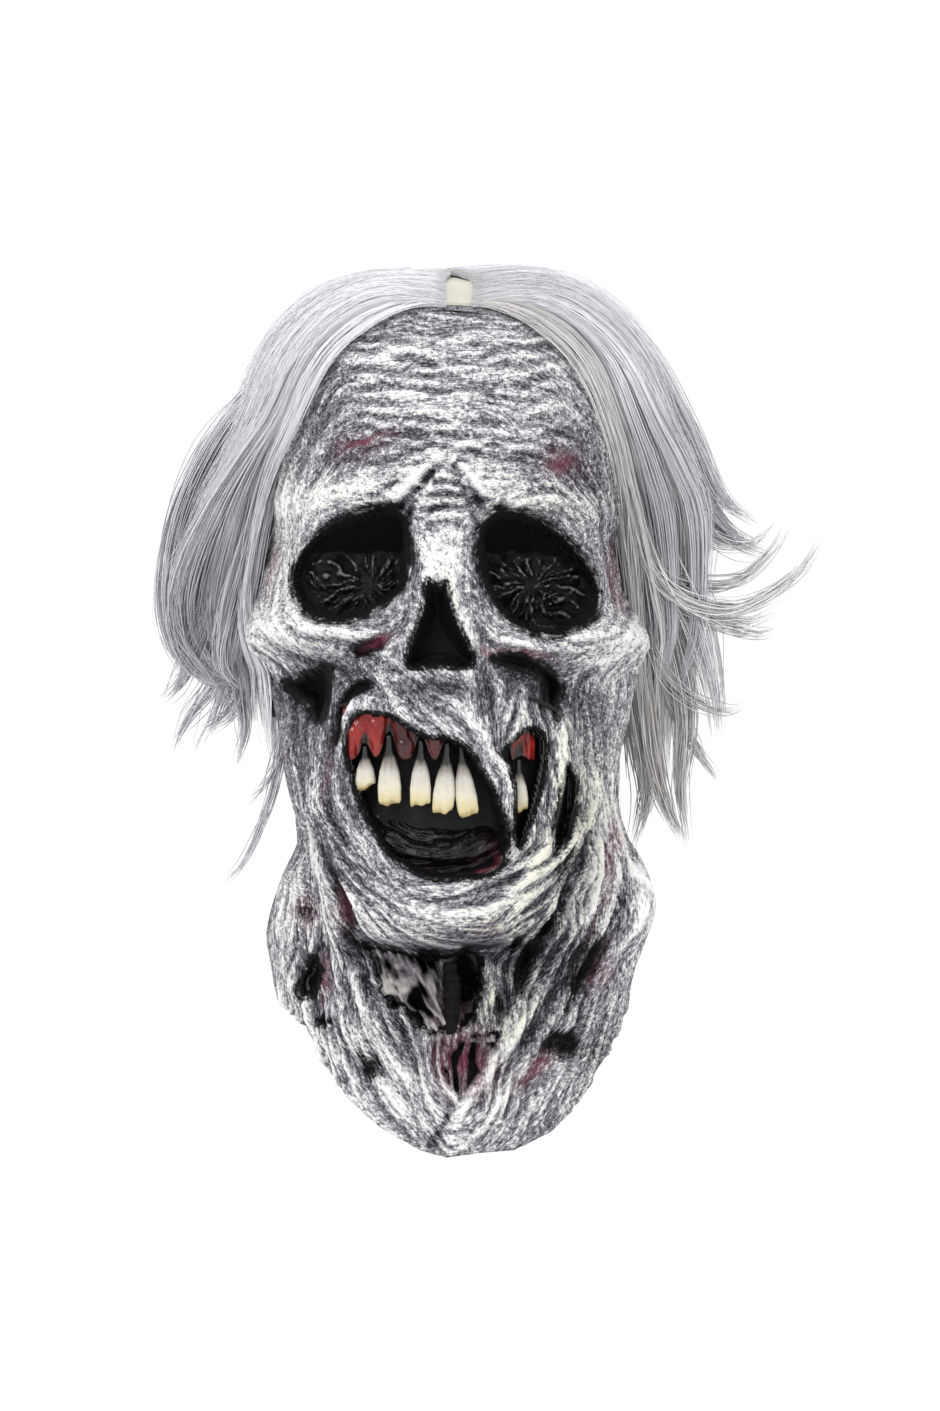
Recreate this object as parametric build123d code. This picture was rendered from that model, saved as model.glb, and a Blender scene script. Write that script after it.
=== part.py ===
"""Over-the-head latex halloween mask: a decayed skull face with a long neck and a glued-on wig.

Millimetres, +Z up, the face looks along -Y and +X is the wearer's left.
The origin is the point inside the crown where the wearer's head carries the mask.
"""

from build123d import *
import math
import os

# ---- driving dimensions -------------------------------------------------------------------
skin = 2.2                  # latex wall
glue = 0.3                  # glue line between bonded pieces, and parting gap of the castings
lining_wall = 1.8           # thinner latex of the cups behind the openings
cap_wall = 1.1              # net of the wig cap
track_wall = 1.2            # sewn weft band
hair_thickness = 9.0        # combed hair over the cap
dome_z = -90.0              # level of the middle of the cranium
seam_y = 6.0                # mould seam between face casting and rear casting
jaw_front = (-110.0, -311.0)    # jaw line under the chin, as (y, z)
jaw_back_z = -215.0         # jaw line at the ear, and lower edge of the rear casting
hem_z = -335.0              # level rear hem of the neck
flap_top_z = -240.0         # top of the slit at the back of the neck
flap_half_width = 50.0
flap_gap = 0.6              # clearance round each flap

# Head and neck tube: level, half width, depth in front of and behind the ear plane.
TUBE = [
    (-4, 35, 33, 41), (-15, 57, 57, 67), (-35, 73, 78, 89), (-60, 81, 91, 101),
    (-90, 85, 99, 106), (-120, 88, 102, 106), (-150, 91, 101, 101), (-175, 90, 96, 93),
    (-200, 84, 88, 84), (-225, 77, 81, 76), (-250, 75, 76, 73), (-280, 82, 73, 73),
    (-305, 91, 72, 74), (-335, 87, 74, 76), (-380, 84, 79, 80), (-430, 84, 84, 84),
]
apex_z = 2.2
# Muzzle and jaw: level, half width, depth in front of the ear plane.
JAW = [
    (-165, 40, 99), (-190, 56, 108), (-220, 61, 112), (-250, 60, 113), (-280, 54, 112),
    (-298, 45, 107), (-306, 36, 98),
]
# Hanging bib of the neck's front, as (x, z) seen from the front.
BIB = [
    (-77, -335), (-66, -345), (-56, -360), (-44, -376), (-27, -391), (-10, -401), (1, -404),
    (30, -401), (48, -393), (65, -376), (78, -356), (86, -335),
]
jaw_rear_y = -20.0
chin_z = -270.0             # below this the wall under the chin counts as well


def ring(z, half_width, front, back, points=16):
    """Closed outline of one level, a little fuller than an ellipse."""
    fullness = 2 / 2.15
    outline = []
    for i in range(points):
        angle = 2 * math.pi * i / points
        c, s = math.cos(angle), math.sin(angle)
        depth = back if s > 0 else front
        x = half_width * math.copysign(abs(c) ** fullness, c)
        y = depth * math.copysign(abs(s) ** fullness, s)
        outline.append(Vector(x, y, z))
    return Face(Wire(Edge.make_spline(outline, periodic=True)))


def tube(offset=0.0):
    """Head and neck as one solid, grown by offset square to its surface."""
    rings = []
    for z, half_width, front, back in reversed(TUBE):
        rise = max(0.0, (z - dome_z) / -dome_z)
        out = offset * math.sqrt(1 - rise * rise)
        rings.append(ring(z + offset * rise, half_width + out, front + out, back + out))
    return loft(rings + [Vertex(0, 0, apex_z + offset)], ruled=True)


def jaw(offset=0.0, shift=0.0):
    """Muzzle and chin as one solid, grown by offset and moved back by shift."""
    sections = []
    for z, half_width, front in reversed(JAW):
        half_depth = (front + offset + jaw_rear_y) / 2
        level = z - offset if z < chin_z else z
        section = ring(level, half_width + offset, half_depth, half_depth)
        sections.append(section.translate(Vector(0, jaw_rear_y - half_depth + shift, 0)))
    return loft(sections, ruled=True)


def block(x0, x1, y0, y1, z0, z1):
    centre = ((x0 + x1) / 2, (y0 + y1) / 2, (z0 + z1) / 2)
    return Pos(*centre) * Box(x1 - x0, y1 - y0, z1 - z0)


def across(points):
    """Prism along X through a side outline of (y, z) points."""
    plane = Plane((-250, 0, 0), x_dir=(0, 1, 0), z_dir=(1, 0, 0))
    return extrude(plane * make_face(Polyline(*points, close=True)), 500)


def oval(x, z, half_width, half_height, tilt=0.0, y0=-150.0, y1=-40.0):
    """Oval column along Y; a positive tilt is clockwise as seen from the front."""
    plane = Plane((x, y0, z), x_dir=(1, 0, 0), z_dir=(0, 1, 0))
    return extrude(plane * (Rot(0, 0, tilt) * Ellipse(half_width, half_height)), y1 - y0)


def column(points, y0=-150.0, y1=-40.0):
    """Column along Y whose outline is a closed curve through (x, z) points."""
    edge = Edge.make_spline([Vector(x, y0, z) for x, z in points], periodic=True)
    return extrude(Face(Wire(edge)), y1 - y0, dir=(0, 1, 0))


def grown(points, distance):
    """Outline points pushed away from their middle."""
    mid_x = sum(x for x, _ in points) / len(points)
    mid_z = sum(z for _, z in points) / len(points)
    pushed = []
    for x, z in points:
        factor = 1 + distance / math.hypot(x - mid_x, z - mid_z)
        pushed.append((mid_x + (x - mid_x) * factor, mid_z + (z - mid_z) * factor))
    return pushed


def below_jaw(drop=0.0):
    """Everything under the sloping jaw line in front, and under the nape behind."""
    front_y, front_z = jaw_front
    return across([
        (-200, front_z - drop), (front_y, front_z - drop), (seam_y, jaw_back_z - drop),
        (200, jaw_back_z - drop), (200, -500), (-200, -500),
    ])


def above_hem():
    """Everything over the trimmed lower edge: level at the back, with the bib in front."""
    bottom = Edge.make_spline([Vector(x, -150, z) for x, z in BIB])
    closing = Edge.make_line(bottom @ 1, bottom @ 0)
    bib = extrude(Face(Wire([bottom, closing])), 150, dir=(0, 1, 0))
    return block(-250, 250, -250, 250, hem_z, 60) + bib


# ---- openings of the castings, as (x, z) seen from the front ------------------------------
socket_x, socket_z = 44.0, -137.0
socket_half_width = socket_half_height = 29.0
MOUTH = [
    (-44, -203), (-37, -197), (-23, -202), (-8, -213), (9, -216), (19, -230), (34, -214),
    (46, -207), (60, -226), (58, -250), (47, -268), (27, -276), (12, -281), (-5, -276),
    (-25, -266), (-39, -247),
]
# Outlines of the dark cups glued in behind the whole nose hole and the whole mouth.
NOSE_CUP = [(-4, -137), (3, -137), (9, -153), (18, -177), (8, -186), (-11, -186), (-19, -177), (-10, -153)]
MOUTH_CUP = [
    (-47, -198), (-20, -193), (20, -193), (51, -201), (64, -226), (62, -253), (49, -272),
    (12, -286), (-27, -271), (-44, -249),
]
NOSE = [(-7, -140), (0, -139), (6, -156), (14, -176), (6, -181), (-10, -181), (-15, -175), (-9, -156)]
THROAT = [(-36, -317), (-12, -315), (14, -317), (17, -332), (8, -345), (-8, -345), (-24, -333)]
GULLET = [(-6, -350), (10, -348), (24, -350), (18, -364), (8, -377), (-1, -364)]
# Middle, half width, half height and tilt of the smaller tears.
CHEEK_HOLLOWS = [(-61, -192, 8, 15, 12), (46, -190, 9, 12, -30)]
NECK_TEARS = [
    (-62, -323, 5.5, 13, 14), (-62, -294, 4, 5, 0), (-36, -361, 4, 8, -30),
    (71, -316, 5, 17, 16), (58, -356, 9, 7, 20), (47, -324, 7, 14, 14),
]

# ---- shared solids ------------------------------------------------------------------------
TUBE_OUT = tube()
TUBE_IN = tube(-skin)
HEAD_IN = TUBE_IN + jaw(-skin)
SHELL = (TUBE_OUT + jaw() - HEAD_IN) & above_hem()
GLUE_IN = tube(-skin - glue)

parts = {}


# ---- latex castings -----------------------------------------------------------------------
def castings():
    gap = glue / 2
    front = block(-250, 250, -250, seam_y - gap, -500, 60)
    rear = block(-250, 250, seam_y + gap, 250, jaw_back_z, 60)
    mouth = column(MOUTH) + column(NOSE)
    for side in (-1, 1):
        mouth += oval(side * socket_x, socket_z, socket_half_width, socket_half_height)
    for hollow in CHEEK_HOLLOWS:
        mouth += oval(*hollow)
    parts["face_casting"] = (SHELL & front) - below_jaw() - mouth
    parts["rear_scalp_casting"] = SHELL & rear

    tears = column(THROAT) + column(GULLET)
    for tear in NECK_TEARS:
        tears += oval(*tear)
    flap_space = block(-flap_half_width, flap_half_width, 20, 250, -500, flap_top_z)
    parts["neck_casting"] = (SHELL & below_jaw(glue)) - tears - flap_space
    for name, side in (("back_flap_right", -1), ("back_flap_left", 1)):
        near, far = sorted((side * flap_gap, side * (flap_half_width - flap_gap)))
        parts[name] = SHELL & block(near, far, 20, 250, -500, flap_top_z - flap_gap)


# ---- linings behind the openings ----------------------------------------------------------
rim_flange = 3.2            # how far a cup reaches past its opening
socket_depth = 12.0
socket_rear_y = -36.0
slot_z = -127.0             # the wearer looks out above this height
nose_depth = 11.0
mouth_depth = 19.0
throat_depth = 13.0


def cup(plug, hollow, inside, floor, floor_back):
    """Cup glued behind an opening: plug and hollow are columns, floor is the solid it stops at."""
    return ((plug & inside) - floor_back) - (hollow - floor)


def socket_lining(side):
    x = side * socket_x
    reach = socket_half_width + rim_flange
    hollow_reach = reach - lining_wall
    plug = oval(x, socket_z, reach, reach, y1=socket_rear_y)
    hollow = oval(x, socket_z, hollow_reach, hollow_reach, y1=socket_rear_y)
    lining = cup(plug, hollow, GLUE_IN, tube(-socket_depth), tube(-socket_depth - lining_wall))
    return lining - (hollow & block(-100, 100, -150, 0, slot_z, 0))


def nose_lining():
    plug, hollow = column(grown(NOSE_CUP, lining_wall)), column(NOSE_CUP)
    lining = cup(plug, hollow, GLUE_IN, tube(-nose_depth), tube(-nose_depth - lining_wall))
    breather = oval(0, -168, 6, 5)
    return lining - breather


def mouth_lining():
    plug = column(grown(MOUTH_CUP, lining_wall), y1=-66)
    hollow = column(MOUTH_CUP, y1=-66)
    inside = jaw(-skin - glue)
    lining = cup(plug, hollow, inside, jaw(0, mouth_depth), jaw(0, mouth_depth + lining_wall))
    breather = oval(-4, -238, 14, 4)
    return lining - breather


def throat_lining():
    plug = oval(-7, -343, 37, 38, y1=-30)
    hollow = oval(-7, -343, 37 - lining_wall, 38 - lining_wall, y1=-30)
    inside = GLUE_IN & above_hem()
    return cup(plug, hollow, inside, tube(-throat_depth), tube(-throat_depth - lining_wall))


def tear_patches():
    """One thin patch of dark latex behind each small tear of the neck."""
    wall = (GLUE_IN - tube(-skin - glue - lining_wall)) & above_hem()
    patches = []
    for x, z, half_width, half_height, tilt in NECK_TEARS:
        patch = wall & oval(x, z, half_width + rim_flange, half_height + rim_flange, tilt, y1=-12)
        if x in (-36, 47):
            patch -= oval(-7, -343, 37 + glue, 38 + glue, y1=-30)
        patches += patch.solids()
    return Compound(children=patches)


# ---- mouth --------------------------------------------------------------------------------
gum_bottom_z = -221.0
tooth_y = -102.5
tooth_sweep = 0.006         # how fast the row of teeth curves back
# Middle, lowest point, width and lean of each tooth, from the wearer's right.
TEETH = [
    (-35.5, -237, 9.0, 8), (-24.8, -243, 10.6, 2), (-10.8, -244, 9.6, 0),
    (-0.4, -247, 9.6, -4), (11.4, -249, 10.0, 3), (34.0, -246, 8.0, 0),
]
peg_radius = 1.6
peg_length = 5.0
peg_gap = 0.25


def tooth(x, lowest_z, width, lean):
    """Peg-rooted incisor: narrow at the gum, wide and thin at the bite."""
    y = tooth_y + tooth_sweep * x * x
    top_z = gum_bottom_z - glue
    edge = Pos(x + lean * 0.1, y - 0.8, lowest_z) * Ellipse(width * 0.5, 1.7)
    belly = Pos(x + lean * 0.05, y - 0.5, (top_z + lowest_z) / 2) * Ellipse(width * 0.45, 3.2)
    root = Pos(x, y, top_z) * Ellipse(width * 0.32, 2.9)
    peg = Pos(x, y, top_z + peg_length / 2) * Cylinder(peg_radius, peg_length)
    return loft([edge, belly, root]) + peg


def upper_gum():
    arc = jaw(0, 6.5) - jaw(0, mouth_depth - 1.5)
    band = arc & column(grown(MOUTH_CUP, -glue)) & block(-44, 42, -150, -88, gum_bottom_z, -200)
    for x, _, _, _ in TEETH:
        y = tooth_y + tooth_sweep * x * x
        band -= Pos(x, y, gum_bottom_z) * Cylinder(peg_radius + peg_gap, 2 * peg_length)
    return band


def lower_palate():
    arc = jaw(0, 5.5) - jaw(0, mouth_depth - 1.5)
    return arc & oval(-4, -274, 34, 21) & column(grown(MOUTH_CUP, -glue))


def sinew(points, radius):
    """Twisted strand of skin across the torn cheek, ending just short of the torn edge."""
    path = Edge.make_three_point_arc(*[Vector(*p) for p in points])
    start = Plane(origin=path @ 0, z_dir=path % 0)
    return sweep(start * Circle(radius), path=path) & column(grown(MOUTH, -glue))


SINEWS = {
    "sinew_inner": ([(24, -109.5, -205), (29, -111.5, -245), (33, -108, -290)], 2.4),
    "sinew_outer": ([(50, -98, -198), (48, -102, -235), (43, -100, -285)], 2.6),
}

windpipe_radius = 4.4
windpipe_x, windpipe_y, windpipe_z = 2.0, -68.6, -332.0
windpipe_length = 34.0
rib_count = 7


def windpipe():
    """Ribbed tube hanging in the torn throat."""
    pitch = windpipe_length / rib_count
    pipe = Pos(windpipe_x, windpipe_y, windpipe_z) * Cylinder(windpipe_radius - 0.8, windpipe_length)
    for i in range(rib_count):
        z = windpipe_z + windpipe_length / 2 - pitch * (i + 0.5)
        pipe += Pos(windpipe_x, windpipe_y, z) * Cylinder(windpipe_radius, pitch * 0.6)
    return pipe


# ---- wig ----------------------------------------------------------------------------------
parting_x = 6.0
parting_half_width = 7.5
HAIRLINE = [(-58, 40), (-58, -16), (-50, -50), (-36, -90), (-22, -130), (-14, -165), (12, -203)]
cap_in = glue
cap_out = cap_in + cap_wall
track_in = cap_out + glue
track_out = track_in + track_wall
hair_in = track_out + glue
hair_out = hair_in + hair_thickness
TRACK_LEVELS = (-38, -64, -90, -116, -142, -168)
track_half_height = 2.5


def behind_hairline(shift=0.0, lowest=-203.0):
    return across([(y + shift, max(z, lowest)) for y, z in HAIRLINE] + [(200, lowest), (200, 40)])


def wig_base():
    cap_outside = tube(cap_out)
    bands = tube(track_out) - tube(track_in)
    parts["wig_cap"] = (cap_outside - tube(cap_in)) & behind_hairline()
    left, right = parting_x + parting_half_width, parting_x - parting_half_width
    parts["parting_strip"] = bands & block(right, left, -57, -6, -30, 40)
    zone = behind_hairline(4.0)
    for i, z in enumerate(TRACK_LEVELS):
        slab = block(-200, 200, -200, 200, z - track_half_height, z + track_half_height)
        parts[f"weft_track_{i + 1}"] = bands & slab & zone


# ---- hair ---------------------------------------------------------------------------------
crown_z = -58.0
side_y = 44.0
hair_hem_z = -198.0
nape_hem_z = -258.0
nape_flare_z = -230.0       # the nape hair stands clear of the flaps below this
# Locks that leave the head: three points of an arc and a radius.
LOCKS = {
    "lock_right_loop": ([(-98, 0, -56), (-131, 2, -128), (-98, 6, -197)], 3.5),
    "lock_right_wisp": ([(-92, 14, -199), (-99, 10, -240), (-104, 4, -276)], 2.5),
    "lock_left_upper": ([(100, -10, -78), (124, -12, -104), (148, -8, -122)], 3.5),
    "lock_left_flyaway": ([(90, -14, -149), (132, -14, -156), (174, -8, -124)], 3.5),
    "lock_left_tail": ([(92, 4, -199), (97, 4, -230), (113, 2, -260)], 4.0),
}


# Masses of hair standing out from the combed layer: middle and three half sizes.
PUFF_RIGHT = (-97, 6, -128, 29, 40, 58)
PUFF_LEFT = (97, -2, -98, 17, 30, 50)


def puff(x, y, z, rx, ry, rz, grow=0.0):
    return Pos(x, y, z) * scale(Sphere(1), by=(rx + grow, ry + grow, rz + grow))


def lock(points, radius):
    path = Edge.make_three_point_arc(*[Vector(*p) for p in points])
    start = Plane(origin=path @ 0, z_dir=path % 0)
    return sweep(start * Circle(radius), path=path)


def nape_curtain(side):
    """Hair hanging from the back of the head, clear of the neck flaps when they open."""
    top_z = hair_hem_z - glue
    outer = [ring(nape_hem_z, 97, 112, 112), ring(nape_flare_z, 97, 112, 112), ring(top_z, 95, 96, 96)]
    inner = [ring(nape_hem_z, 90, 104, 104), ring(nape_flare_z, 90, 104, 104), ring(top_z, 88, 88, 88)]
    near, far = sorted((side * glue, side * 120))
    curtain = loft(outer, ruled=True) - loft(inner, ruled=True)
    return curtain & block(near, far, 40, 140, -400, 0)


def hair():
    layer = (tube(hair_out) - tube(hair_in)) & behind_hairline(2.0, hair_hem_z)
    rear_y, top_z = side_y + glue, crown_z - glue
    panels = {
        "crown_hair_left": (parting_x + glue, 150, -150, 150, crown_z, 60),
        "crown_hair_right": (-150, parting_x - glue, -150, 150, crown_z, 60),
        "side_hair_left": (0, 150, -150, side_y, hair_hem_z, top_z),
        "side_hair_right": (-150, 0, -150, side_y, hair_hem_z, top_z),
        "rear_hair_left": (glue, 150, rear_y, 150, hair_hem_z, top_z),
        "rear_hair_right": (-150, -glue, rear_y, 150, hair_hem_z, top_z),
    }
    for name, limits in panels.items():
        parts[name] = layer & block(*limits)
    parts["nape_hair_left"] = nape_curtain(1)
    parts["nape_hair_right"] = nape_curtain(-1)
    combed = tube(hair_out + glue)
    parts["puffed_hair_right"] = puff(*PUFF_RIGHT) - combed
    parts["puffed_hair_left"] = puff(*PUFF_LEFT) - combed
    covered = combed + puff(*PUFF_LEFT, grow=glue) + puff(*PUFF_RIGHT, grow=glue)
    for name, (points, radius) in LOCKS.items():
        parts[name] = lock(points, radius) - covered


def build():
    castings()
    parts["right_socket_lining"] = socket_lining(-1)
    parts["left_socket_lining"] = socket_lining(1)
    parts["nose_lining"] = nose_lining()
    parts["mouth_lining"] = mouth_lining()
    parts["throat_lining"] = throat_lining()
    parts["tear_patches"] = tear_patches()
    parts["upper_gum"] = upper_gum()
    for i, row in enumerate(TEETH):
        parts[f"tooth_{i + 1}"] = tooth(*row)
    parts["lower_palate"] = lower_palate()
    for name, (points, radius) in SINEWS.items():
        parts[name] = sinew(points, radius)
    parts["windpipe"] = windpipe()
    wig_base()
    hair()


build()
os.makedirs("parts", exist_ok=True)
for name, shape in parts.items():
    export_step(shape, f"parts/{name}.step")
    box = shape.bounding_box()
    corners = [round(v, 1) for v in (*box.min, *box.max)]
    print(name, len(shape.solids()), round(shape.volume), shape.is_valid, corners)
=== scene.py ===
"""Looks of an over-the-head latex mask, a decayed skull with a silver wig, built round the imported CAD
frame. Lengths in the tables are millimetres: +X is the wearer's left, the face looks along -Y, +Z is up."""
import math

import bpy
import numpy as np
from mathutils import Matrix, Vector


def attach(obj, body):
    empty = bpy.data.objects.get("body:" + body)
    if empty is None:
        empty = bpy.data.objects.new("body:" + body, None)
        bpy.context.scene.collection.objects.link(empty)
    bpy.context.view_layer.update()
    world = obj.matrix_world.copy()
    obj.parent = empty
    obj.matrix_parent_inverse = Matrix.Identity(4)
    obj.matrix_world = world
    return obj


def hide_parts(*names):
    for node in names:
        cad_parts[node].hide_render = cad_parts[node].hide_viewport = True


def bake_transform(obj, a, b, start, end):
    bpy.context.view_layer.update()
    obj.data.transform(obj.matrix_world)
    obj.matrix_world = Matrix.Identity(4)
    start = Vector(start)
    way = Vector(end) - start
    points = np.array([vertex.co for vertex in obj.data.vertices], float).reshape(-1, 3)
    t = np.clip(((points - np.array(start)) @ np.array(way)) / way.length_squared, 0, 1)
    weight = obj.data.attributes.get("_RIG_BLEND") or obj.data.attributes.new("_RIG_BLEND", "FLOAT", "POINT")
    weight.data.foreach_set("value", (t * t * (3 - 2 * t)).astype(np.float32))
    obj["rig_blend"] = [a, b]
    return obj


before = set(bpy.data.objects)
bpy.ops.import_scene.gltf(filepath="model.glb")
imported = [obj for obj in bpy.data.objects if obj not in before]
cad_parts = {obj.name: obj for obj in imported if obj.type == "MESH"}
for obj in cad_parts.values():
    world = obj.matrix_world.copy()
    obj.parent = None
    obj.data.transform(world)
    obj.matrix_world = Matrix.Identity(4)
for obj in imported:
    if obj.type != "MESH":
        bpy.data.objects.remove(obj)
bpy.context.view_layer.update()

MM = 0.001
RNG = np.random.default_rng(7)


# ---- small numeric helpers ----------------------------------------------------------------
def smooth(a, b, x):
    t = np.clip((x - a) / (b - a), 0.0, 1.0)
    return t * t * (3 - 2 * t)


def hashed(i, j, k, seed):
    """Repeatable value in -1..1 for each integer lattice point."""
    h = (i.astype(np.int64) * 73856093) ^ (j.astype(np.int64) * 19349663) ^ (k.astype(np.int64) * 83492791)
    h = (h ^ (seed * 2654435761)) & 0xFFFFFFFF
    h = ((h ^ (h >> 15)) * 2246822519) & 0xFFFFFFFF
    h = ((h ^ (h >> 13)) * 3266489917) & 0xFFFFFFFF
    return ((h ^ (h >> 16)) & 0xFFFFFF) / 8388607.5 - 1.0


def noise(x, y, seed, z=0.0):
    """Smooth value noise of unit cell size, about -1..1."""
    i, j, k = np.floor(x), np.floor(y), np.floor(z)
    u, v, w = (t * t * t * (t * (t * 6 - 15) + 10) for t in (x - i, y - j, z - k))
    total = 0.0
    for di in (0, 1):
        for dj in (0, 1):
            for dk in (0, 1):
                weight = (u if di else 1 - u) * (v if dj else 1 - v) * (w if dk else 1 - w)
                total = total + weight * hashed(i + di, j + dj, k + dk, seed)
    return total


def fractal(x, y, seed):
    """Three octaves of noise."""
    return sum(0.5 ** o * noise(x * 2 ** o, y * 2 ** o, seed + o) for o in range(3)) / 1.6


def spline(a, b, c, d, t):
    """Catmull-Rom point between b and c."""
    return 0.5 * (2 * b + (c - a) * t + (2 * a - 5 * b + 4 * c - d) * t ** 2
                  + (3 * b - a - 3 * c + d) * t ** 3)


def spline_loop(points, per=8):
    """Closed smooth outline through (x, z) points."""
    p = np.array(points, float)
    t = np.linspace(0, 1, per, endpoint=False)[None, :, None]
    a, b, c, d = (np.roll(p, shift, 0)[:, None] for shift in (1, 0, -1, -2))
    return spline(a, b, c, d, t).reshape(-1, 2)


def spline_path(points, count):
    """Open smooth path through points of any dimension, count points evenly in parameter."""
    p = np.array(points, float)
    p = np.vstack([2 * p[0] - p[1], p, 2 * p[-1] - p[-2]])
    t = np.linspace(0, len(p) - 3 - 1e-9, count)
    i = t.astype(int)
    return spline(p[i], p[i + 1], p[i + 2], p[i + 3], (t - i)[:, None])


def segment_distance(px, pz, a, b):
    """Distance to segment ab, and the share of the way along it."""
    ax, az = a
    dx, dz = b[0] - ax, b[1] - az
    t = np.clip(((px - ax) * dx + (pz - az) * dz) / max(dx * dx + dz * dz, 1e-9), 0, 1)
    return np.hypot(px - ax - t * dx, pz - az - t * dz), t


def close_by(px, pz, line, reach):
    """The points within reach of a line's box."""
    lo, hi = line.min(0) - reach, line.max(0) + reach
    return (px > lo[0]) & (px < hi[0]) & (pz > lo[1]) & (pz < hi[1])


def inside_distance(px, pz, outline, reach=24.0):
    """Signed distance to a closed outline, positive inside, clipped to reach outside.

    Distances come in whole millimetres, which roughens the edges that are made from them."""
    result = np.full(px.shape, -reach)
    near = close_by(px, pz, outline, reach)
    x, z = px[near], pz[near]
    best = np.full(x.shape, reach)
    inside = np.zeros(x.shape, bool)
    for a, b in zip(outline, np.roll(outline, -1, 0)):
        best = np.minimum(best, segment_distance(x, z, a, b)[0])
        crosses = (a[1] > z) != (b[1] > z)
        with np.errstate(divide="ignore", invalid="ignore"):
            at = a[0] + (z - a[1]) * (b[0] - a[0]) / (b[1] - a[1])
        inside ^= crosses & (x < at)
    result[near] = np.trunc(np.where(inside, best, -best))
    return result


def path_distance(px, pz, points, reach=14.0):
    """Whole distance to an open path of (x, z) points, and the share of the way along it."""
    p = spline_path(points, 6 * len(points))
    best = np.full(px.shape, reach)
    along = np.zeros(px.shape)
    near = close_by(px, pz, p, reach)
    x, z = px[near], pz[near]
    d, s = best[near], along[near]
    for i in range(len(p) - 1):
        di, ti = segment_distance(x, z, p[i], p[i + 1])
        closer = di < d
        d = np.where(closer, di, d)
        s = np.where(closer, (i + ti) / (len(p) - 1), s)
    best[near], along[near] = np.trunc(d), s
    return best, along


def blur(grid, passes):
    """Repeated 1-2-1 blur over rows and columns."""
    g = grid.copy()
    for _ in range(passes):
        g = 0.5 * g + 0.25 * (np.roll(g, 1, 1) + np.roll(g, -1, 1))
        up, down = np.vstack([g[:1], g[:-1]]), np.vstack([g[1:], g[-1:]])
        g = 0.5 * g + 0.25 * (up + down)
    return g


# ---- plain form of the head and neck ------------------------------------------------------
# Level, half width on the wearer's right and left, depth in front, depth behind.
TUBE = np.array([
    (-90, 85, 85, 99, 106), (-120, 87, 88, 102, 106), (-150, 90, 91, 101, 101), (-167, 89, 92, 98, 95),
    (-185, 83, 89, 93, 90), (-200, 79, 85, 88, 84), (-225, 76, 81, 81, 76), (-250, 70.5, 82, 76, 73),
    (-262, 70, 86, 74, 72), (-276, 76, 91, 73, 72), (-290, 81, 94, 73, 73), (-303, 84, 93, 72, 74),
    (-318, 82, 89, 73, 75), (-335, 79, 86, 74, 76), (-380, 80, 84, 79, 80), (-430, 80, 84, 84, 84),
], float)
DOME = np.array([
    (-90, 85, 85, 99, 106), (-60, 86, 86, 96.5, 107), (-35, 90, 90, 97, 110), (-15, 94, 94, 97, 114),
    (3, 95, 95, 95, 115),
], float)
# Muzzle: level, half width, depth in front.
JAW = np.array([
    (-150, 20, 92), (-165, 40, 99), (-190, 56, 108), (-220, 61, 112), (-250, 60, 113), (-280, 54, 112),
    (-298, 45, 107), (-304, 38, 101), (-312, 22, 70),
], float)
# Lower edge of the bib that hangs at the front of the neck: x, z.
BIB = np.array([
    (-90, -335), (-78, -335), (-66, -345), (-56, -360), (-44, -376), (-27, -391), (-10, -401), (1, -404),
    (14, -402), (30, -401), (48, -393), (65, -376), (78, -356), (86, -336), (95, -335),
], float)
APEX = 2.2                  # crown of the skin
DOME_Z = -90.0              # base of the dome
JAW_REAR = -20.0
HEM_Z = -335.0              # level rear hem
BIB_TIP_Z = -404.0
ROUNDNESS = 2.15            # 2 would be an ellipse
MUZZLE_BLEND = 6.0          # how gently the muzzle runs into the cheeks


def eased(table, column, z):
    """Smooth interpolation of one column of a table over its first column."""
    t = table[np.argsort(table[:, 0])]
    x, y = t[:, 0], t[:, column]
    slope = np.gradient(y, x)
    z = np.clip(z, x[0], x[-1])
    i = np.clip(np.searchsorted(x, z) - 1, 0, len(x) - 2)
    h = x[i + 1] - x[i]
    s = (z - x[i]) / h
    return ((2 * s ** 3 - 3 * s ** 2 + 1) * y[i] + (s ** 3 - 2 * s ** 2 + s) * h * slope[i]
            + (3 * s ** 2 - 2 * s ** 3) * y[i + 1] + (s ** 3 - s ** 2) * h * slope[i + 1])


def dome_share(z, grow=0.0):
    """Share of the way up the dome."""
    return np.clip((z - DOME_Z) / (APEX + grow - DOME_Z), 0, 1)


def tube_radius(angle, z, grow=0.0):
    """Distance from the upright axis to the head or neck surface. Angle 0 faces the front."""
    closing = np.sqrt(np.maximum(1 - dome_share(z, grow) ** 2, 1e-6))
    right, left, front, rear = (
        np.where(z > DOME_Z, eased(DOME, column, z) * closing, eased(TUBE, column, z)) + grow * closing
        for column in (1, 2, 3, 4))
    s, c = np.sin(angle), np.cos(angle)
    across, along = np.where(s < 0, right, left), np.where(c > 0, front, rear)
    return (np.abs(s / across) ** ROUNDNESS + np.abs(c / along) ** ROUNDNESS) ** (-1 / ROUNDNESS)


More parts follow.
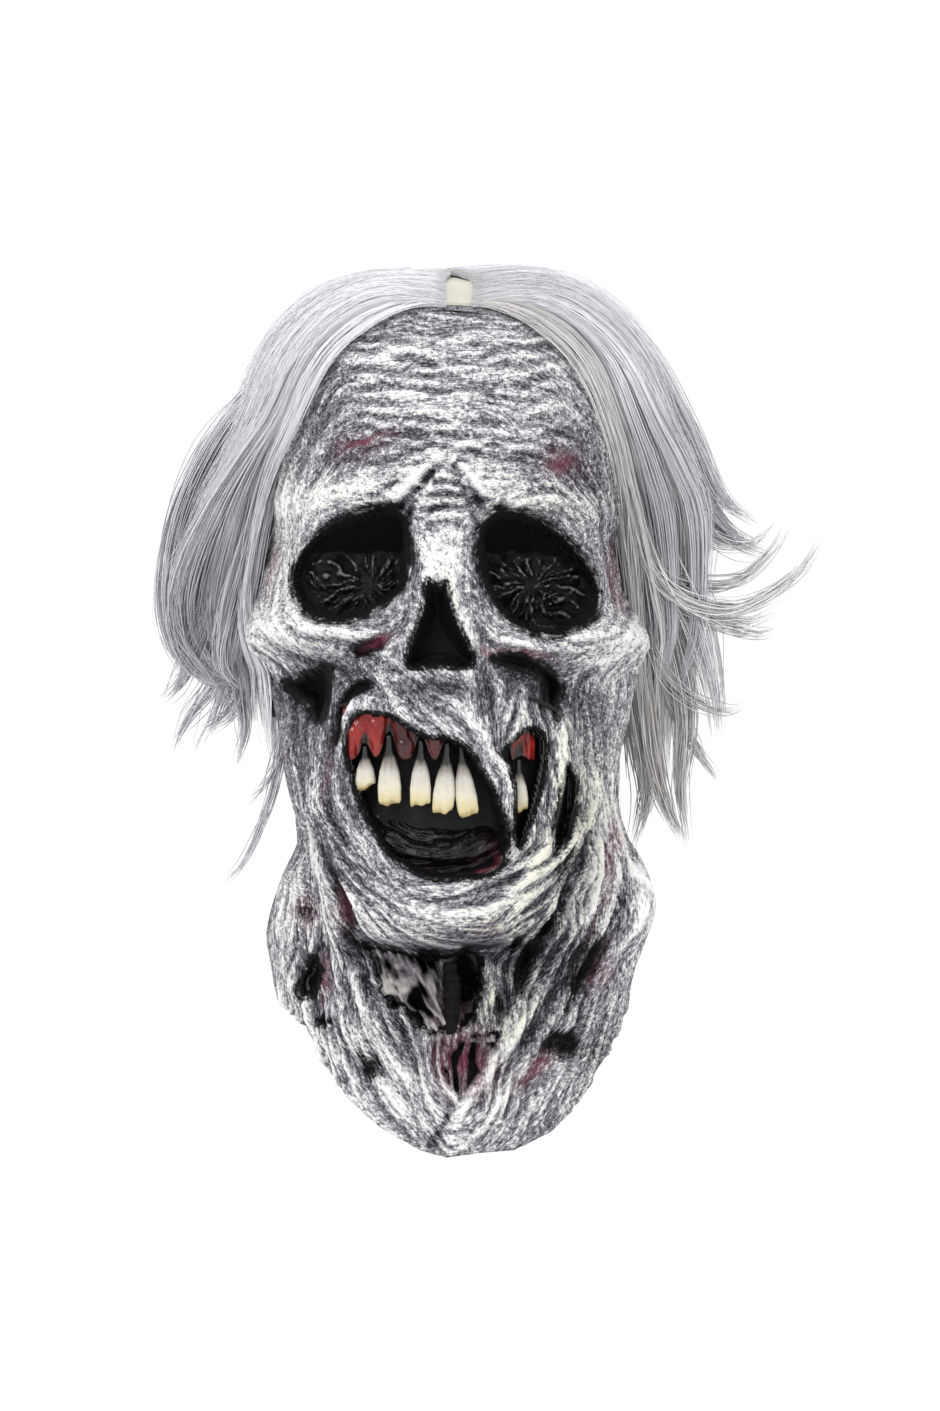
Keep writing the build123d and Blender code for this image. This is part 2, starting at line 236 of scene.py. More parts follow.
def jaw_radius(angle, z):
    """Distance from the axis to the muzzle, or 0 where a line at this angle misses it."""
    half_width, front = eased(JAW, 1, z), eased(JAW, 2, z)
    half_depth = (front + JAW_REAR) / 2
    middle = half_depth - JAW_REAR
    s, c = np.sin(angle), np.cos(angle)
    a = (s / half_width) ** 2 + (c / half_depth) ** 2
    b = -2 * c * middle / half_depth ** 2
    d = b * b - 4 * a * ((middle / half_depth) ** 2 - 1)
    r = (-b + np.sqrt(np.maximum(d, 0))) / (2 * a)
    fades = smooth(-150, -172, z) * smooth(-314, -303, z)
    return np.where((d > 0) & (c > 0) & (fades > 0), r, 0), fades


def plain_radius(angle, z):
    tube = tube_radius(angle, z)
    jaw, fade = jaw_radius(angle, z)
    over = np.maximum(jaw - tube, -40)
    lift = 0.5 * (over + np.sqrt(over * over + MUZZLE_BLEND ** 2)) - 0.5 * MUZZLE_BLEND * 0.35
    return tube + np.maximum(lift, 0) * fade * (jaw > 0)


# ---- sculpting, as seen from the front ----------------------------------------------------
def tilted(x, z, degrees):
    """The (x, z) plane turned clockwise as seen from the front."""
    c, s = math.cos(math.radians(degrees)), math.sin(math.radians(degrees))
    return x * c - z * s, x * s + z * c


def bump(x, z, cx, cz, rx, rz, height, tilt=0.0):
    """Soft oval bump; a positive tilt is clockwise as seen from the front."""
    u, v = tilted(x - cx, z - cz, tilt)
    return height * np.exp(-((u / rx) ** 2 + (v / rz) ** 2))


def bumps(x, z, table):
    return sum(bump(x, z, *row) for row in table)


# Tables of bumps: middle x, z, half sizes, height or strength, tilt.
# Broad forms of the skull.
FORMS = [
    (-43, -101, 30, 8, 5.0, -6), (44, -103, 30, 8, 5.0, 10), (0, -100, 15, 12, 3.0, 0),
    (-82, -124, 12, 24, -6.0, 0), (84, -132, 12, 24, -6.0, 0), (-73, -163, 22, 12, 9.0, -8),
    (76, -166, 22, 12, 9.5, 10), (-42, -168, 24, 7, 4.5, 8), (40, -172, 22, 6, 3.5, -4),
    (-33, -176, 12, 6, -4.0, 0), (30, -180, 11, 7, -4.5, 20), (-62, -193, 11, 16, -7.0, 12),
    (52, -192, 10, 13, -7.0, -20), (-78, -205, 8, 25, 2.0, 0), (80, -205, 9, 30, 3.0, 0),
    (-2, -294, 32, 9, 4.5, 0), (0, -318, 45, 8, -2.0, 0), (-44, -300, 9, 14, 4.0, -20),
    (-70, -262, 10, 14, -5.0, 0), (-80, -300, 10, 26, -3.0, 0), (88, -288, 12, 26, 9.0, 0),
    (66, -316, 10, 18, -4.5, 10), (55, -352, 14, 8, -4.0, 10), (-62, -322, 9, 13, -3.0, 8),
    (-35, -362, 8, 10, -3.0, -20), (40, -318, 16, 20, -5.0, 10), (10, -352, 22, 16, -4.0, 0),
    (-10, -330, 26, 16, -5.0, 0), (-55, -255, 6, 22, 2.5, -10), (-30, -345, 10, 30, 2.5, -30),
]
# Bare bone, brushed pale.
BONE = [
    (-42, -101, 36, 8, 1, -6), (44, -103, 36, 8, 1, 10), (-68, -164, 28, 14, 1.3, -8),
    (70, -167, 28, 14, 1.3, 10), (0, -292, 42, 12, 1.1), (-38, -168, 20, 6, 0.9, 8), (38, -171, 20, 6, 0.9),
    (0, -95, 22, 14, 0.8), (20, -394, 40, 12, 0.8), (-50, -365, 20, 16, 0.5), (2, -55, 60, 30, 0.45),
]
# Skin drawn out into long fibres.
STRETCHED = [
    (22, -203, 26, 16, 1), (47, -238, 12, 36, 1.2, 4), (30, -256, 5, 26, 1), (55, -285, 30, 50, 1.1, 20),
    (-55, -290, 22, 50, 0.9, -10), (5, -290, 40, 12, 0.8), (10, -375, 44, 30, 1), (-60, -300, 22, 50, 0.6),
    (74, -300, 16, 50, 0.6),
]
# Paint.
RED = [
    (-37, -77, 10, 1.6, 0.75, -18), (-37, -79, 17, 8, 0.16, -10), (53, -87, 5, 4, 0.6, 20),
    (54, -86, 12, 9, 0.28, 0), (-84, -134, 5, 14, 0.5, 0), (82, -141, 6, 16, 0.6, 0),
    (-30, -168.5, 8, 2.6, 1.0, -14), (28, -173.5, 15, 2.4, 1.0, 8), (-64.5, -293, 6.5, 6.5, 0.8, 0),
    (-55, -324, 3, 9, 0.8, 0), (41, -365, 13, 3.5, 0.8, -35), (76, -262, 2.8, 32, 0.7, 10),
    (82, -226, 3, 22, 0.5, 4), (72, -318, 6, 12, 0.35, 0), (9, -361, 12, 13, 1.15, 0),
    (-46, -290, 4, 10, 0.4, 0), (-77, -226, 3, 16, 0.3, 0), (-54, -228, 3, 12, 0.25, 0),
    (20, -300, 6, 2, 0.2, 0),
]
# Painted highlights: paler paint on the brow, cheekbones, temples, chin, neck and bib.
LIGHT = [
    (10, -385, 60, 22, 0.10, 0), (76, -300, 10, 50, 0.14, 0), (-45, -102, 28, 10, 0.10, 0),
    (-70, -164, 26, 12, 0.08, 0), (68, -168, 26, 12, 0.08, 0), (-80, -128, 12, 34, 0.22, 0),
    (-10, -290, 40, 10, 0.08, 0), (-72, -300, 12, 40, 0.06, 0), (62, -245, 14, 34, 0.06, 0),
    (78, -300, 12, 40, 0.06, 0),
]
CREAM = [
    (48, -262, 22, 50, 0.85, 12), (28, -330, 26, 34, 0.7, 20), (16, -330, 6, 16, 0.9, 0),
    (4, -150, 4, 18, 0.5, -16), (60, -232, 12, 32, 0.5, 0), (12, -300, 34, 5, 0.7, 0),
    (-40, -100, 30, 8, 0.35, 0), (46, -104, 30, 8, 0.45, 0), (72, -360, 10, 10, 0.8, 0),
    (5, -348, 22, 6, 0.6, 0), (40, -205, 12, 14, 0.5, 0), (-12, -335, 20, 14, 0.35, 0),
]
# Darker paint: painted shade in the hollows of the cheeks and temples, round the sockets, under the nose and
# chin and in the pits of the neck, and grey halos round the bruises on the forehead.
SHADE = [
    (-64, -188, 17, 13, 0.75, 0), (46, -186, 14, 11, 0.6, 20), (-34, -170, 9, 6, 0.9, -10),
    (-40, -190, 7, 8, 0.9, 30), (-47, -205, 3, 10, 1.2, 0), (-43, -138, 33, 30, 0.2, 0),
    (43, -140, 33, 32, 0.25, 0), (66, -135, 8, 20, 0.2, 10), (0, -189, 17, 5, 0.55, 0),
    (-62, -206, 12, 20, 0.65, 0), (60, -200, 11, 18, 0.55, 0), (-40, -180, 14, 7, 0.5, 0),
    (34, -184, 14, 9, 0.55, 20), (-37, -80, 20, 9, 0.55, -10), (53, -87, 17, 12, 0.55, 0),
    (-84, -128, 8, 22, 0.3, 0), (84, -132, 8, 24, 0.5, 0), (-42, -300, 10, 30, 0.6, -14),
    (40, -316, 22, 26, 0.7, 10), (66, -316, 14, 20, 0.65, 12), (54, -353, 18, 10, 0.75, 0),
    (-62, -322, 10, 16, 0.5, 0), (-35, -362, 11, 12, 0.6, -30), (-8, -330, 30, 18, 0.7, 0),
    (8, -362, 22, 18, 0.55, 0), (-5, -310, 52, 6.5, 1.25, 0), (58, -268, 9, 22, 0.55, 22),
    (-72, -250, 9, 30, 0.4, 0), (-50, -222, 6, 22, 0.45, 0), (0, -120, 6, 30, -0.25, 0),
    (-52, -66, 12, 30, 0.25, 0), (64, -64, 12, 30, 0.25, 0), (1, -388, 5, 12, 0.35, 0),
    (-60, -215, 30, 50, 0.15, 0), (78, -305, 8, 40, 0.2, 0), (-20, -192, 14, 8, 0.25, 20),
]


def nose_form(x, z):
    """Bony bridge that flares down to the rim round the nose hole."""
    height = np.interp(-z, [100, 108, 118, 132, 142, 160, 174, 184, 190], [0, 1.5, 5, 11, 13.5, 11, 8, 4, 0])
    width = np.interp(-z, [100, 115, 130, 145, 168, 188], [9, 8.5, 11, 14.5, 19.5, 20])
    lean = np.interp(-z, [100, 140, 180], [0, -1.5, -1.5])
    return height * np.exp(-((np.abs(x - lean) / width) ** 2.6))


# Cords and creases of the skin: points (x, z), half width, height (negative digs in).
CORDS = [
    ([(1, -84), (-6, -88), (-14, -97), (-23, -104)], 2.6, 1.7),
    ([(1, -84), (8, -90), (14, -98), (20, -103)], 2.6, 1.7),
    ([(-1, -87), (-8, -93), (-15, -101), (-22, -110)], 1.3, -2.8),
    ([(2, -87), (8, -93), (13, -101), (18, -110)], 1.3, -2.8),
    ([(-4, -90), (-10, -98), (-15, -108), (-17, -118)], 1.2, -2.0),
    ([(3, -90), (8, -98), (12, -108), (14, -117)], 1.2, -2.0),
    ([(-6, -97), (1, -95.5), (7, -97.5)], 1.2, -2.3), ([(-9, -103.5), (0, -101.6), (8, -103.5)], 1.2, -2.6),
    ([(-9, -110), (0, -107.6), (9, -109.5)], 1.2, -2.4), ([(-8, -116), (0, -114), (8, -116.5)], 1.2, -1.4),
    ([(-16, -103), (-25, -108), (-31, -107)], 1.2, -1.3), ([(15, -102), (23, -107), (30, -108)], 1.2, -1.3),
    ([(-20, -94), (-27, -99), (-34, -102)], 1.2, -1.2),
    ([(-43, -173.5), (-36, -171.5), (-27, -168.5)], 2.4, -5.0),
    ([(-33, -187), (-42, -191), (-48, -199), (-49, -210), (-51.5, -217)], 2.0, -5.5),
    ([(-30, -196), (-38, -196), (-43, -201), (-46.5, -210), (-46, -222)], 3.2, 2.6),
    ([(-55, -196), (-53, -212), (-56, -228), (-50, -250), (-42, -268)], 2.4, -1.6),
    # the wearer's left: skin drawn from the cheekbone over the jaw to the bib
    ([(58, -196), (53, -214), (52, -232), (47, -254), (37, -276), (20, -292)], 2.6, 3.2),
    ([(67, -222), (66, -246), (55, -262), (40, -280), (26, -298)], 2.4, 3.0),
    ([(72, -235), (68, -262), (65, -290), (53, -314), (39, -337), (22, -362), (5, -388)], 2.8, 4.0),
    ([(62, -262), (58, -288), (48, -312), (34, -334), (26, -350)], 2.2, 3.0),
    ([(78, -245), (76, -275), (72, -300), (60, -328), (44, -350), (28, -374), (12, -394)], 2.4, 2.6),
    ([(50, -280), (46, -296), (34, -312), (32, -334)], 1.8, 2.2),
    ([(32, -302), (24, -318), (20, -338)], 2.4, 2.6),
    ([(84, -262), (84, -290), (82, -320), (74, -342)], 2.4, 1.8),
    ([(70, -250), (61, -272), (50, -296), (34, -322)], 2.2, -2.8),
    ([(80, -270), (77, -296), (66, -322), (50, -346)], 2.0, -2.2),
    # the wearer's right: folds of the neck, and the crease of the bib
    ([(-58, -232), (-60, -256), (-54, -280), (-46, -304), (-38, -330), (-24, -356), (-8, -380)], 3.0, 3.4),
    ([(-62, -240), (-57, -262), (-48, -282), (-38, -300)], 1.8, -3.8),
    ([(-68, -262), (-66, -290), (-56, -318), (-44, -346), (-24, -376), (-4, -396)], 2.8, 2.2),
    ([(-74, -268), (-77, -296), (-72, -322), (-58, -346), (-38, -374)], 2.2, 1.8),
    ([(-44, -290), (-40, -316), (-30, -342), (-14, -368)], 2.0, -2.4),
    ([(2, -378), (1, -386), (-4, -395), (-9, -402)], 1.6, -1.8),
]


def oval_loop(x, z, half_width, half_height, tilt=0.0):
    t = np.linspace(0, 2 * np.pi, 40, endpoint=False)
    u, v = tilted(half_width * np.cos(t), half_height * np.sin(t), -tilt)
    return np.stack([x + u, z + v], 1)


# Outlines of the openings.
SOCKET_RIGHT = spline_loop([
    (-33, -107.5), (-24.5, -106.8), (-17, -110), (-14.8, -118), (-14.5, -131), (-16, -143), (-21, -149),
    (-29, -153), (-37, -158), (-47, -160), (-58, -157), (-67, -149), (-71, -139), (-68, -127.5), (-59, -119),
    (-48, -112.5),
])
SOCKET_LEFT = spline_loop([
    (31, -108.5), (20, -110), (14.5, -118), (14, -131), (17, -144), (24, -156), (34, -163), (48, -166.5),
    (62, -160), (69, -152), (71, -142), (65, -131), (56, -121.5), (44, -113.3),
])
NOSE = spline_loop([
    (-7.5, -140.5), (-2.5, -143), (1, -141.5), (3, -152), (8, -165), (13, -176), (9, -181), (-3, -180),
    (-14, -181), (-17, -177), (-13, -165), (-9, -152),
])
MOUTH = spline_loop([
    (-42, -204), (-36, -200.5), (-25, -202), (-16.5, -207.5), (-7, -211.5), (2.7, -211.5), (10, -216),
    (16.5, -225), (23.5, -238), (28, -252), (28.5, -265), (23.5, -273), (8, -276.5), (-7, -275.5),
    (-22, -268), (-32, -256), (-39.5, -241), (-43.5, -227), (-45, -215),
])
GAP_INNER = spline_loop([
    (28, -217), (35, -209.5), (41, -207.5), (46.5, -213), (46, -225), (43, -238), (39, -251), (35, -262),
    (31.8, -258), (31.5, -248), (31.5, -236), (29, -226.5),
], 6)
GAP_OUTER = spline_loop([
    (54.5, -224), (60.5, -232), (60, -245), (55, -258), (49.5, -265.5), (48.5, -254), (51, -240),
], 6)
THROAT = spline_loop([
    (-37, -307), (-20, -309), (-6, -311), (6, -310), (16, -309), (17, -322), (16, -336), (10, -345),
    (0, -347), (-10, -345), (-18, -339), (-27, -331), (-33, -318),
], 6)
GULLET = spline_loop([
    (-4, -348), (6, -350), (14, -346), (28, -345), (25, -356), (17, -368), (8, -378), (1, -374), (-3, -362),
], 6)
CRESCENT = spline_loop([
    (22, -175), (30, -173.8), (38, -175.5), (46, -179), (55, -185.5), (57, -191), (54, -198), (52.5, -204),
    (49.5, -198), (47.5, -189), (43, -184.5), (36, -181), (29, -179), (23, -177.5),
], 6)
CHEEK_HOLE = spline_loop([
    (-74, -186.5), (-65, -181.8), (-53.5, -179.5), (-53, -190), (-56.5, -202), (-61.5, -205.5), (-67, -197.5),
    (-72, -192),
], 6)
# Openings and pits: outline, depth, width of the rolled edge, raggedness, blackness, cut through.
PITS = [
    (NOSE, 15, 3.2, 0.5, 1.0, False), (MOUTH, 9, 1.7, 0.5, 1.0, True), (GAP_INNER, 9, 1.3, 0.5, 1.0, True),
    (GAP_OUTER, 9, 1.6, 0.6, 1.0, True), (CHEEK_HOLE, 12, 5.0, 1.2, 1.0, False),
    (CRESCENT, 11, 3.4, 0.8, 1.0, False), (THROAT, 9, 1.8, 2.4, 0.9, True),
    (GULLET, 8, 4.5, 1.2, 0.12, False), (oval_loop(-62.5, -323, 4.6, 10.5, 14), 9, 3.0, 1.2, 1.0, False),
    (oval_loop(-64.5, -293, 4.2, 4.2), 6, 2.8, 0.6, 0.55, False),
    (oval_loop(-56, -343, 2.6, 2.2), 5, 1.8, 0.8, 1.0, False),
    (oval_loop(-34, -363, 4.0, 7.0, -35), 6, 3.0, 1.2, 0.7, False),
    (oval_loop(67, -316, 6.0, 15, 22), 7, 5.0, 1.2, 0.6, False),
    (oval_loop(61, -326, 3.2, 7, 16), 6, 2.6, 1.0, 0.75, False),
    (oval_loop(56, -353, 8.0, 6.0, 14), 6, 3.6, 1.2, 0.62, False),
    (oval_loop(38, -317, 6.5, 14, 14), 6, 4.5, 1.4, 0.5, False),
    (oval_loop(47, -299, 5.0, 5.5, 30), 5, 3.5, 1.2, 0.6, False),
    (oval_loop(32, -306, 3.0, 4.5, 30), 5, 2.6, 1.2, 0.8, False),
    (oval_loop(26, -336, 4.5, 8, 0), 5, 3.4, 1.4, 0.5, False),
    (oval_loop(55, -268, 3.4, 8, 24), 4, 3.0, 1.0, 0.6, False),
]
# Direction of the skin's fibres: x, z, degrees (0 across, 90 down), reach.
GRAIN = [
    (0, -30, 0, 22), (-25, -38, -8, 18), (28, -38, 8, 18), (0, -60, 0, 24), (-32, -62, -14, 16),
    (36, -62, 12, 16), (0, -84, 0, 16), (-58, -60, 118, 16), (-74, -92, 112, 16), (-50, -86, 150, 12),
    (62, -60, 62, 16), (76, -92, 66, 16), (52, -86, 30, 12), (0, -100, 0, 9), (0, -128, 90, 12),
    (-12, -160, 100, 10), (12, -160, 80, 10), (-42, -170, 6, 9), (42, -173, -8, 9), (-76, -164, 20, 12),
    (78, -166, -20, 12), (-82, -195, 100, 14), (82, -200, 82, 14), (-72, -232, 94, 14), (76, -235, 92, 14),
    (-34, -184, 60, 8), (-20, -192, 38, 8), (-5, -194, 48, 8), (8, -200, 58, 8), (20, -205, 68, 7),
    (30, -200, 88, 7), (40, -198, 108, 7), (22, -222, 66, 6), (30, -250, 84, 6), (48, -225, 96, 6),
    (46, -252, 104, 6), (-52, -218, 84, 9), (-50, -242, 72, 9), (-43, -266, 54, 9), (-22, -284, 22, 10),
    (0, -292, 4, 12), (22, -290, -24, 10), (38, -276, -52, 10), (56, -250, 112, 10), (-62, -270, 68, 12),
    (-54, -300, 66, 12), (-74, -305, 88, 14), (-62, -335, 58, 12), (-40, -350, 56, 12), (-42, -378, 44, 12),
    (-15, -375, 58, 10), (-12, -395, 30, 9), (18, -395, -22, 9), (30, -375, 128, 12), (52, -345, 122, 12),
    (60, -378, 150, 12), (60, -300, 108, 10), (84, -300, 92, 12), (78, -335, 112, 12), (40, -330, 118, 12),
    (20, -330, 96, 8), (0, -350, 90, 9),
]


# ---- the skin as one grid of rows (height) and columns (angle) -----------------------------
FINE = 0.78                 # spacing of the front half
COARSE = 3.0                # spacing of the back half
FRONT_COLUMNS = int(np.pi * 94 / FINE)
BACK_COLUMNS = int(np.pi * 46 / COARSE)
SLIT_HALF_ANGLE = 0.009
SLIT_TOP = -240.0
FLAP_HALF_WIDTH = 50.0
HINGE_Y = 63.5
WALL = 2.4
NECK_TOP = -215.0           # rows lie level above it, and follow the hem below it
THROAT_ROWS = (-315, -298)  # closer rows under the chin


def grid_lines():
    front = np.linspace(-np.pi / 2, np.pi / 2, FRONT_COLUMNS)
    half = np.linspace(np.pi / 2, np.pi - SLIT_HALF_ANGLE, BACK_COLUMNS)[1:]
    angles = np.concatenate([front, half, 2 * np.pi - half[::-1]])
    levels = [APEX - 0.02]
    while levels[-1] > BIB_TIP_Z:
        z = levels[-1]
        step = (2.2 if z > -8 else FINE) * max(math.sqrt(1 - dome_share(z) ** 2), 0.12)
        if THROAT_ROWS[0] < z < THROAT_ROWS[1]:
            step *= 0.55
        levels.append(z - step)
    levels[-1] = BIB_TIP_Z
    return angles, np.array(levels)


def hem_level(angle):
    x = tube_radius(angle, np.full(angle.shape, -350.0)) * np.sin(angle)
    return np.where(np.cos(angle) > 0.02, np.interp(x, BIB[:, 0], BIB[:, 1]), HEM_Z)


def flow_field(x, z):
    """Unit direction of the fibres across (first) and down (second)."""
    c2, s2 = np.zeros(x.shape), np.zeros(x.shape)
    for gx, gz, degrees, reach in GRAIN:
        w = np.exp(-((x - gx) ** 2 + (z - gz) ** 2) / (2 * reach * reach))
        c2 += w * math.cos(2 * math.radians(degrees))
        s2 += w * math.sin(2 * math.radians(degrees))
    for cx, cz, inner in ((-43, -135, 30), (43, -137, 31)):     # round the eye sockets
        dx, dz = x - cx, z - cz
        turn = np.arctan2(-dz, dx)
        w = 4.0 * np.exp(-((np.hypot(dx, dz) - inner - 3) / 5) ** 2)
        c2 -= w * np.cos(2 * turn)
        s2 -= w * np.sin(2 * turn)
    half = 0.5 * np.arctan2(s2, c2 + 1e-6) + 0.5 * noise(x / 14, z / 14, 31)
    return np.cos(half), np.sin(half)


def streaks(flow, cell_x, cell_z, grain, half_length, step=0.8):
    """Noise drawn out along the flow: the fibres of the skin. Zero mean, unit spread."""
    rows, columns = grain.shape
    row0, column0 = np.meshgrid(np.arange(rows, dtype=float), np.arange(columns, dtype=float), indexing="ij")
    total = grain.copy()

    def cell(r, c):
        return np.clip(np.rint(r), 0, rows - 1).astype(int), np.rint(c).astype(int) % columns

    for sign in (1.0, -1.0):
        r, c = row0.copy(), column0.copy()
        last_u, last_v = sign * flow[0], sign * flow[1]
        for _ in range(int(half_length / step)):
            ri, ci = cell(r, c)
            u, v = flow[0][ri, ci], flow[1][ri, ci]
            flip = np.where(u * last_u + v * last_v < 0, -1.0, 1.0)
            last_u, last_v = u * flip, v * flip
            c += last_u * step / cell_x[ci]
            r += last_v * step / cell_z[ri]
            total += grain[cell(r, c)]
    total = blur(total, 1)
    return (total - total.mean()) / total.std()


def furrows(x, z):
    """Wavy level furrows of the forehead."""
    zone = smooth(-52, -32, x) * smooth(64, 46, x) * smooth(-96, -80, z) * smooth(-16, -30, z)
    wave = z + 4.5 * noise(x / 26, z / 40, 11) + 1.6 * noise(x / 7, z / 9, 12) - 0.0016 * (x - 5) ** 2
    lines = np.sin(2 * np.pi * wave / 7.4 + 1.5 * noise(x / 40, z / 18, 13))
    lines = np.sign(lines) * np.abs(lines) ** 0.75
    return 0.95 * lines * (0.7 + 0.6 * noise(x / 11, z / 5, 14)) * zone


def cord_relief(x, z):
    total = np.zeros(x.shape)
    for points, half_width, height in CORDS:
        d, s = path_distance(x, z, points)
        taper = smooth(0, 0.12, s) * smooth(1.0, 0.85, s) * 0.8 + 0.2
        total += height * taper * np.exp(-(d / half_width) ** 2)
    return total


def dig(x, z, front, coarse, fine):
    """Pit depth, blackness, raised lip and shrivelled lids of the openings, and what is cut through."""
    pit, black, lip, lids = np.zeros((4, *x.shape))
    cut = np.zeros(x.shape, bool)
    rag = fractal(x / 5, z / 5, 21)
    for outline, depth, edge, ragged, dark, through in PITS:
        d = inside_distance(x, z, outline)
        d = np.where(front > 0, d + ragged * rag * (np.abs(d) < 8), -24)
        pit = np.maximum(pit, depth * smooth(-0.4, edge, d) * (0.35 + 0.65 * smooth(0, 2.2 * edge, d)))
        black = np.maximum(black, dark * smooth(-2.2, 1.4, d))
        lip += np.where(depth > 8, 0.9, 0.5) * np.exp(-((d + 2.4) / 2.0) ** 2)
        if through:
            cut |= d > edge * 1.15

    # bare muscle at the foot of the throat, in bands that fan out
    muscle = smooth(0.5, 3.5, inside_distance(x, z, GULLET)) * front
    fan = (x - 8) / np.maximum(z + 396, 6)
    bands = np.sin(27 * fan + 2.2 * noise(x / 5, z / 8, 47)) + 0.5 * noise(x / 2, z / 7, 48)
    pit -= 2.6 * muscle * bands
    black = np.maximum(black, muscle * smooth(-0.15, -0.75, bands))
    black = np.maximum(black, 0.95 * muscle * smooth(-351, -347, z) * smooth(10, 16, x))

    # eye sockets: a black rolled rim, an open slot above and a shrivelled lid below
    for outline, cx, cz, slot_z, side in (
            (SOCKET_RIGHT, -34, -143, -127.5, 1), (SOCKET_LEFT, 40, -143, -128.0, -1)):
        d = np.where(front > 0, inside_distance(x, z, outline), -24)
        pit = np.maximum(pit, 13.0 * smooth(-1.5, 6.5, d))
        black = np.maximum(black, smooth(-3.0, 3.0, d + 1.2 * rag * (np.abs(d) < 8)))
        lip += 1.2 * np.exp(-((d + 3.0) / 3.0) ** 2)
        turn, spread = np.arctan2(z - cz, x - cx), np.hypot(x - cx, z - cz)
        folds = noise(turn * 8.0 + 3.6 * noise(x / 11, z / 11, 41), spread / 18, 42 + side)
        folds += 0.9 * noise(turn * 15.0 + 3.6 * noise(x / 7, z / 7, 43), spread / 9, 44)
        inner = smooth(1.5, 5.0, d - 3.0 * smooth(8, 26, -side * (x - cx)))
        inner = inner * smooth(slot_z + 1, slot_z - 3, z)
        lids = np.maximum(lids, inner)
        bulge = 2.6 * folds * smooth(1, 7, spread) + 2.6 * np.exp(-(spread / 14) ** 2)
        pit -= inner * (bulge + 0.7 * coarse + 0.4 * fine)
        cut |= (d > 3.6) & (z > slot_z + 1.0 * noise(x / 6, z * 0, 45))
    return pit, black, lip, lids, cut


def sculpt():
    """Positions of the outer and inner skin, and everything the paint needs to know."""
    angles, levels = grid_lines()
    a, z = np.meshgrid(angles, levels)
    reach = (hem_level(angles) - NECK_TOP) / (BIB_TIP_Z - NECK_TOP)
    z = np.where(z < NECK_TOP, NECK_TOP + (z - NECK_TOP) * reach, z)
    r = plain_radius(a, z)
    front = smooth(-0.05, 0.35, np.cos(a))
    x = r * np.sin(a)
    broad = bumps(x, z, FORMS) + nose_form(x, z) + 1.2 * fractal(x / 22, z / 22, 3)
    cords = cord_relief(x, z)

    cell_x = np.where(np.arange(len(angles)) < FRONT_COLUMNS, FINE, COARSE)
    closing = np.maximum(1 - np.minimum(dome_share(levels), 0.98) ** 2, 0.05)
    cell_z = np.maximum(np.abs(np.gradient(levels)) / np.sqrt(closing), 0.3)
    flow = flow_field(x, z)
    fine = streaks(flow, cell_x, cell_z, RNG.standard_normal(x.shape), 8.0)
    coarse_grain, pebble = (g / g.std() for g in (blur(RNG.standard_normal(x.shape), 1) for _ in range(2)))
    coarse = streaks(flow, cell_x, cell_z, coarse_grain, 22.0)

    bone = np.clip(bumps(x, z, BONE) + np.clip(nose_form(x, z) / 9, 0, 1), 0, 1) * front
    stretched = np.clip(bumps(x, z, STRETCHED), 0, 1) * front
    fibres = (0.36 + 0.30 * stretched) * fine * (1 - 0.2 * bone) + (0.34 + 0.6 * stretched) * coarse
    rough = bone * (0.42 * pebble + 0.35 * np.minimum(coarse, 0.6))
    relief = fibres * (0.25 + 0.75 * front) + rough + furrows(x, z) * front

    pit, black, lip, lids, cut = dig(x, z, front, coarse, fine)
    relief = np.where(relief < 0, 1.4 * np.tanh(relief / 1.4), 2.4 * np.tanh(relief / 2.4))
    relief = relief * (1 - 0.9 * smooth(1, 5, pit)) * (1 - lids)
    lip = lip * front * (1 - smooth(0.3, 2, pit))

    out = r + (broad + cords) * front + relief + lip
    outer = np.stack([out * np.sin(a), -out * np.cos(a) + pit, z], -1)
    core = np.minimum(r + (broad + np.minimum(cords, 0)) * front - WALL, out - 1.4)
    back_y = -core * np.cos(a) + pit + 1.0 * smooth(0.5, 4, pit)
    inner = np.stack([core * np.sin(a), back_y, np.where(z > -1.0, z - WALL, z)], -1)
    twice = 2 * np.arctan2(flow[1], flow[0])
    # Painted shade and highlight: the colour darkens in the creases and hollows of the cords and broad forms
    # and pales on their rises.
    form = cords + broad * 0.6
    form = 0.55 * (form - blur(form, 60)) + 0.35 * np.minimum(cords, 0) + 0.22 * np.maximum(cords, 0)
    masks = {
        "grain_c": np.cos(twice), "grain_s": np.sin(twice),
        "relief": np.clip(relief / 1.05 + form, -3.2, 3.0),
        "black": np.clip(black, 0, 1), "lid": lids, "bone": bone, "stretched": stretched,
        "lidfold": np.clip(0.42 - 0.5 * (pit - blur(pit, 4)), 0, 1) * lids,
    }
    masks.update(paint_masks(x, z, front))
    return outer, inner, cut, masks


def paint_masks(x, z, front):
    wobble_x, wobble_z = (g + 2.5 * noise(x / 7, z / 7, seed) for g, seed in ((x, 51), (z, 52)))
    total = {}
    for name, table in (("red", RED), ("cream", CREAM), ("shade", SHADE), ("light", LIGHT)):
        total[name] = np.clip(bumps(wobble_x, wobble_z, table), -0.3, 1.2) * front
    # painted shade: darker towards the sides and the back of the head
    total["shade"] += 0.3 * (1 - front)
    return total


def vertex_normals(points, quads):
    """Smooth normals of a quad mesh."""
    a, b, c, d = (points[quads[:, i]] for i in range(4))
    face = np.cross(c - a, d - b)
    normals = np.zeros(points.shape)
    for i in range(4):
        for axis in range(3):
            normals[:, axis] += np.bincount(quads[:, i], face[:, axis], len(points))
    length = np.linalg.norm(normals, axis=1, keepdims=True)
    return normals / np.maximum(length, 1e-9)


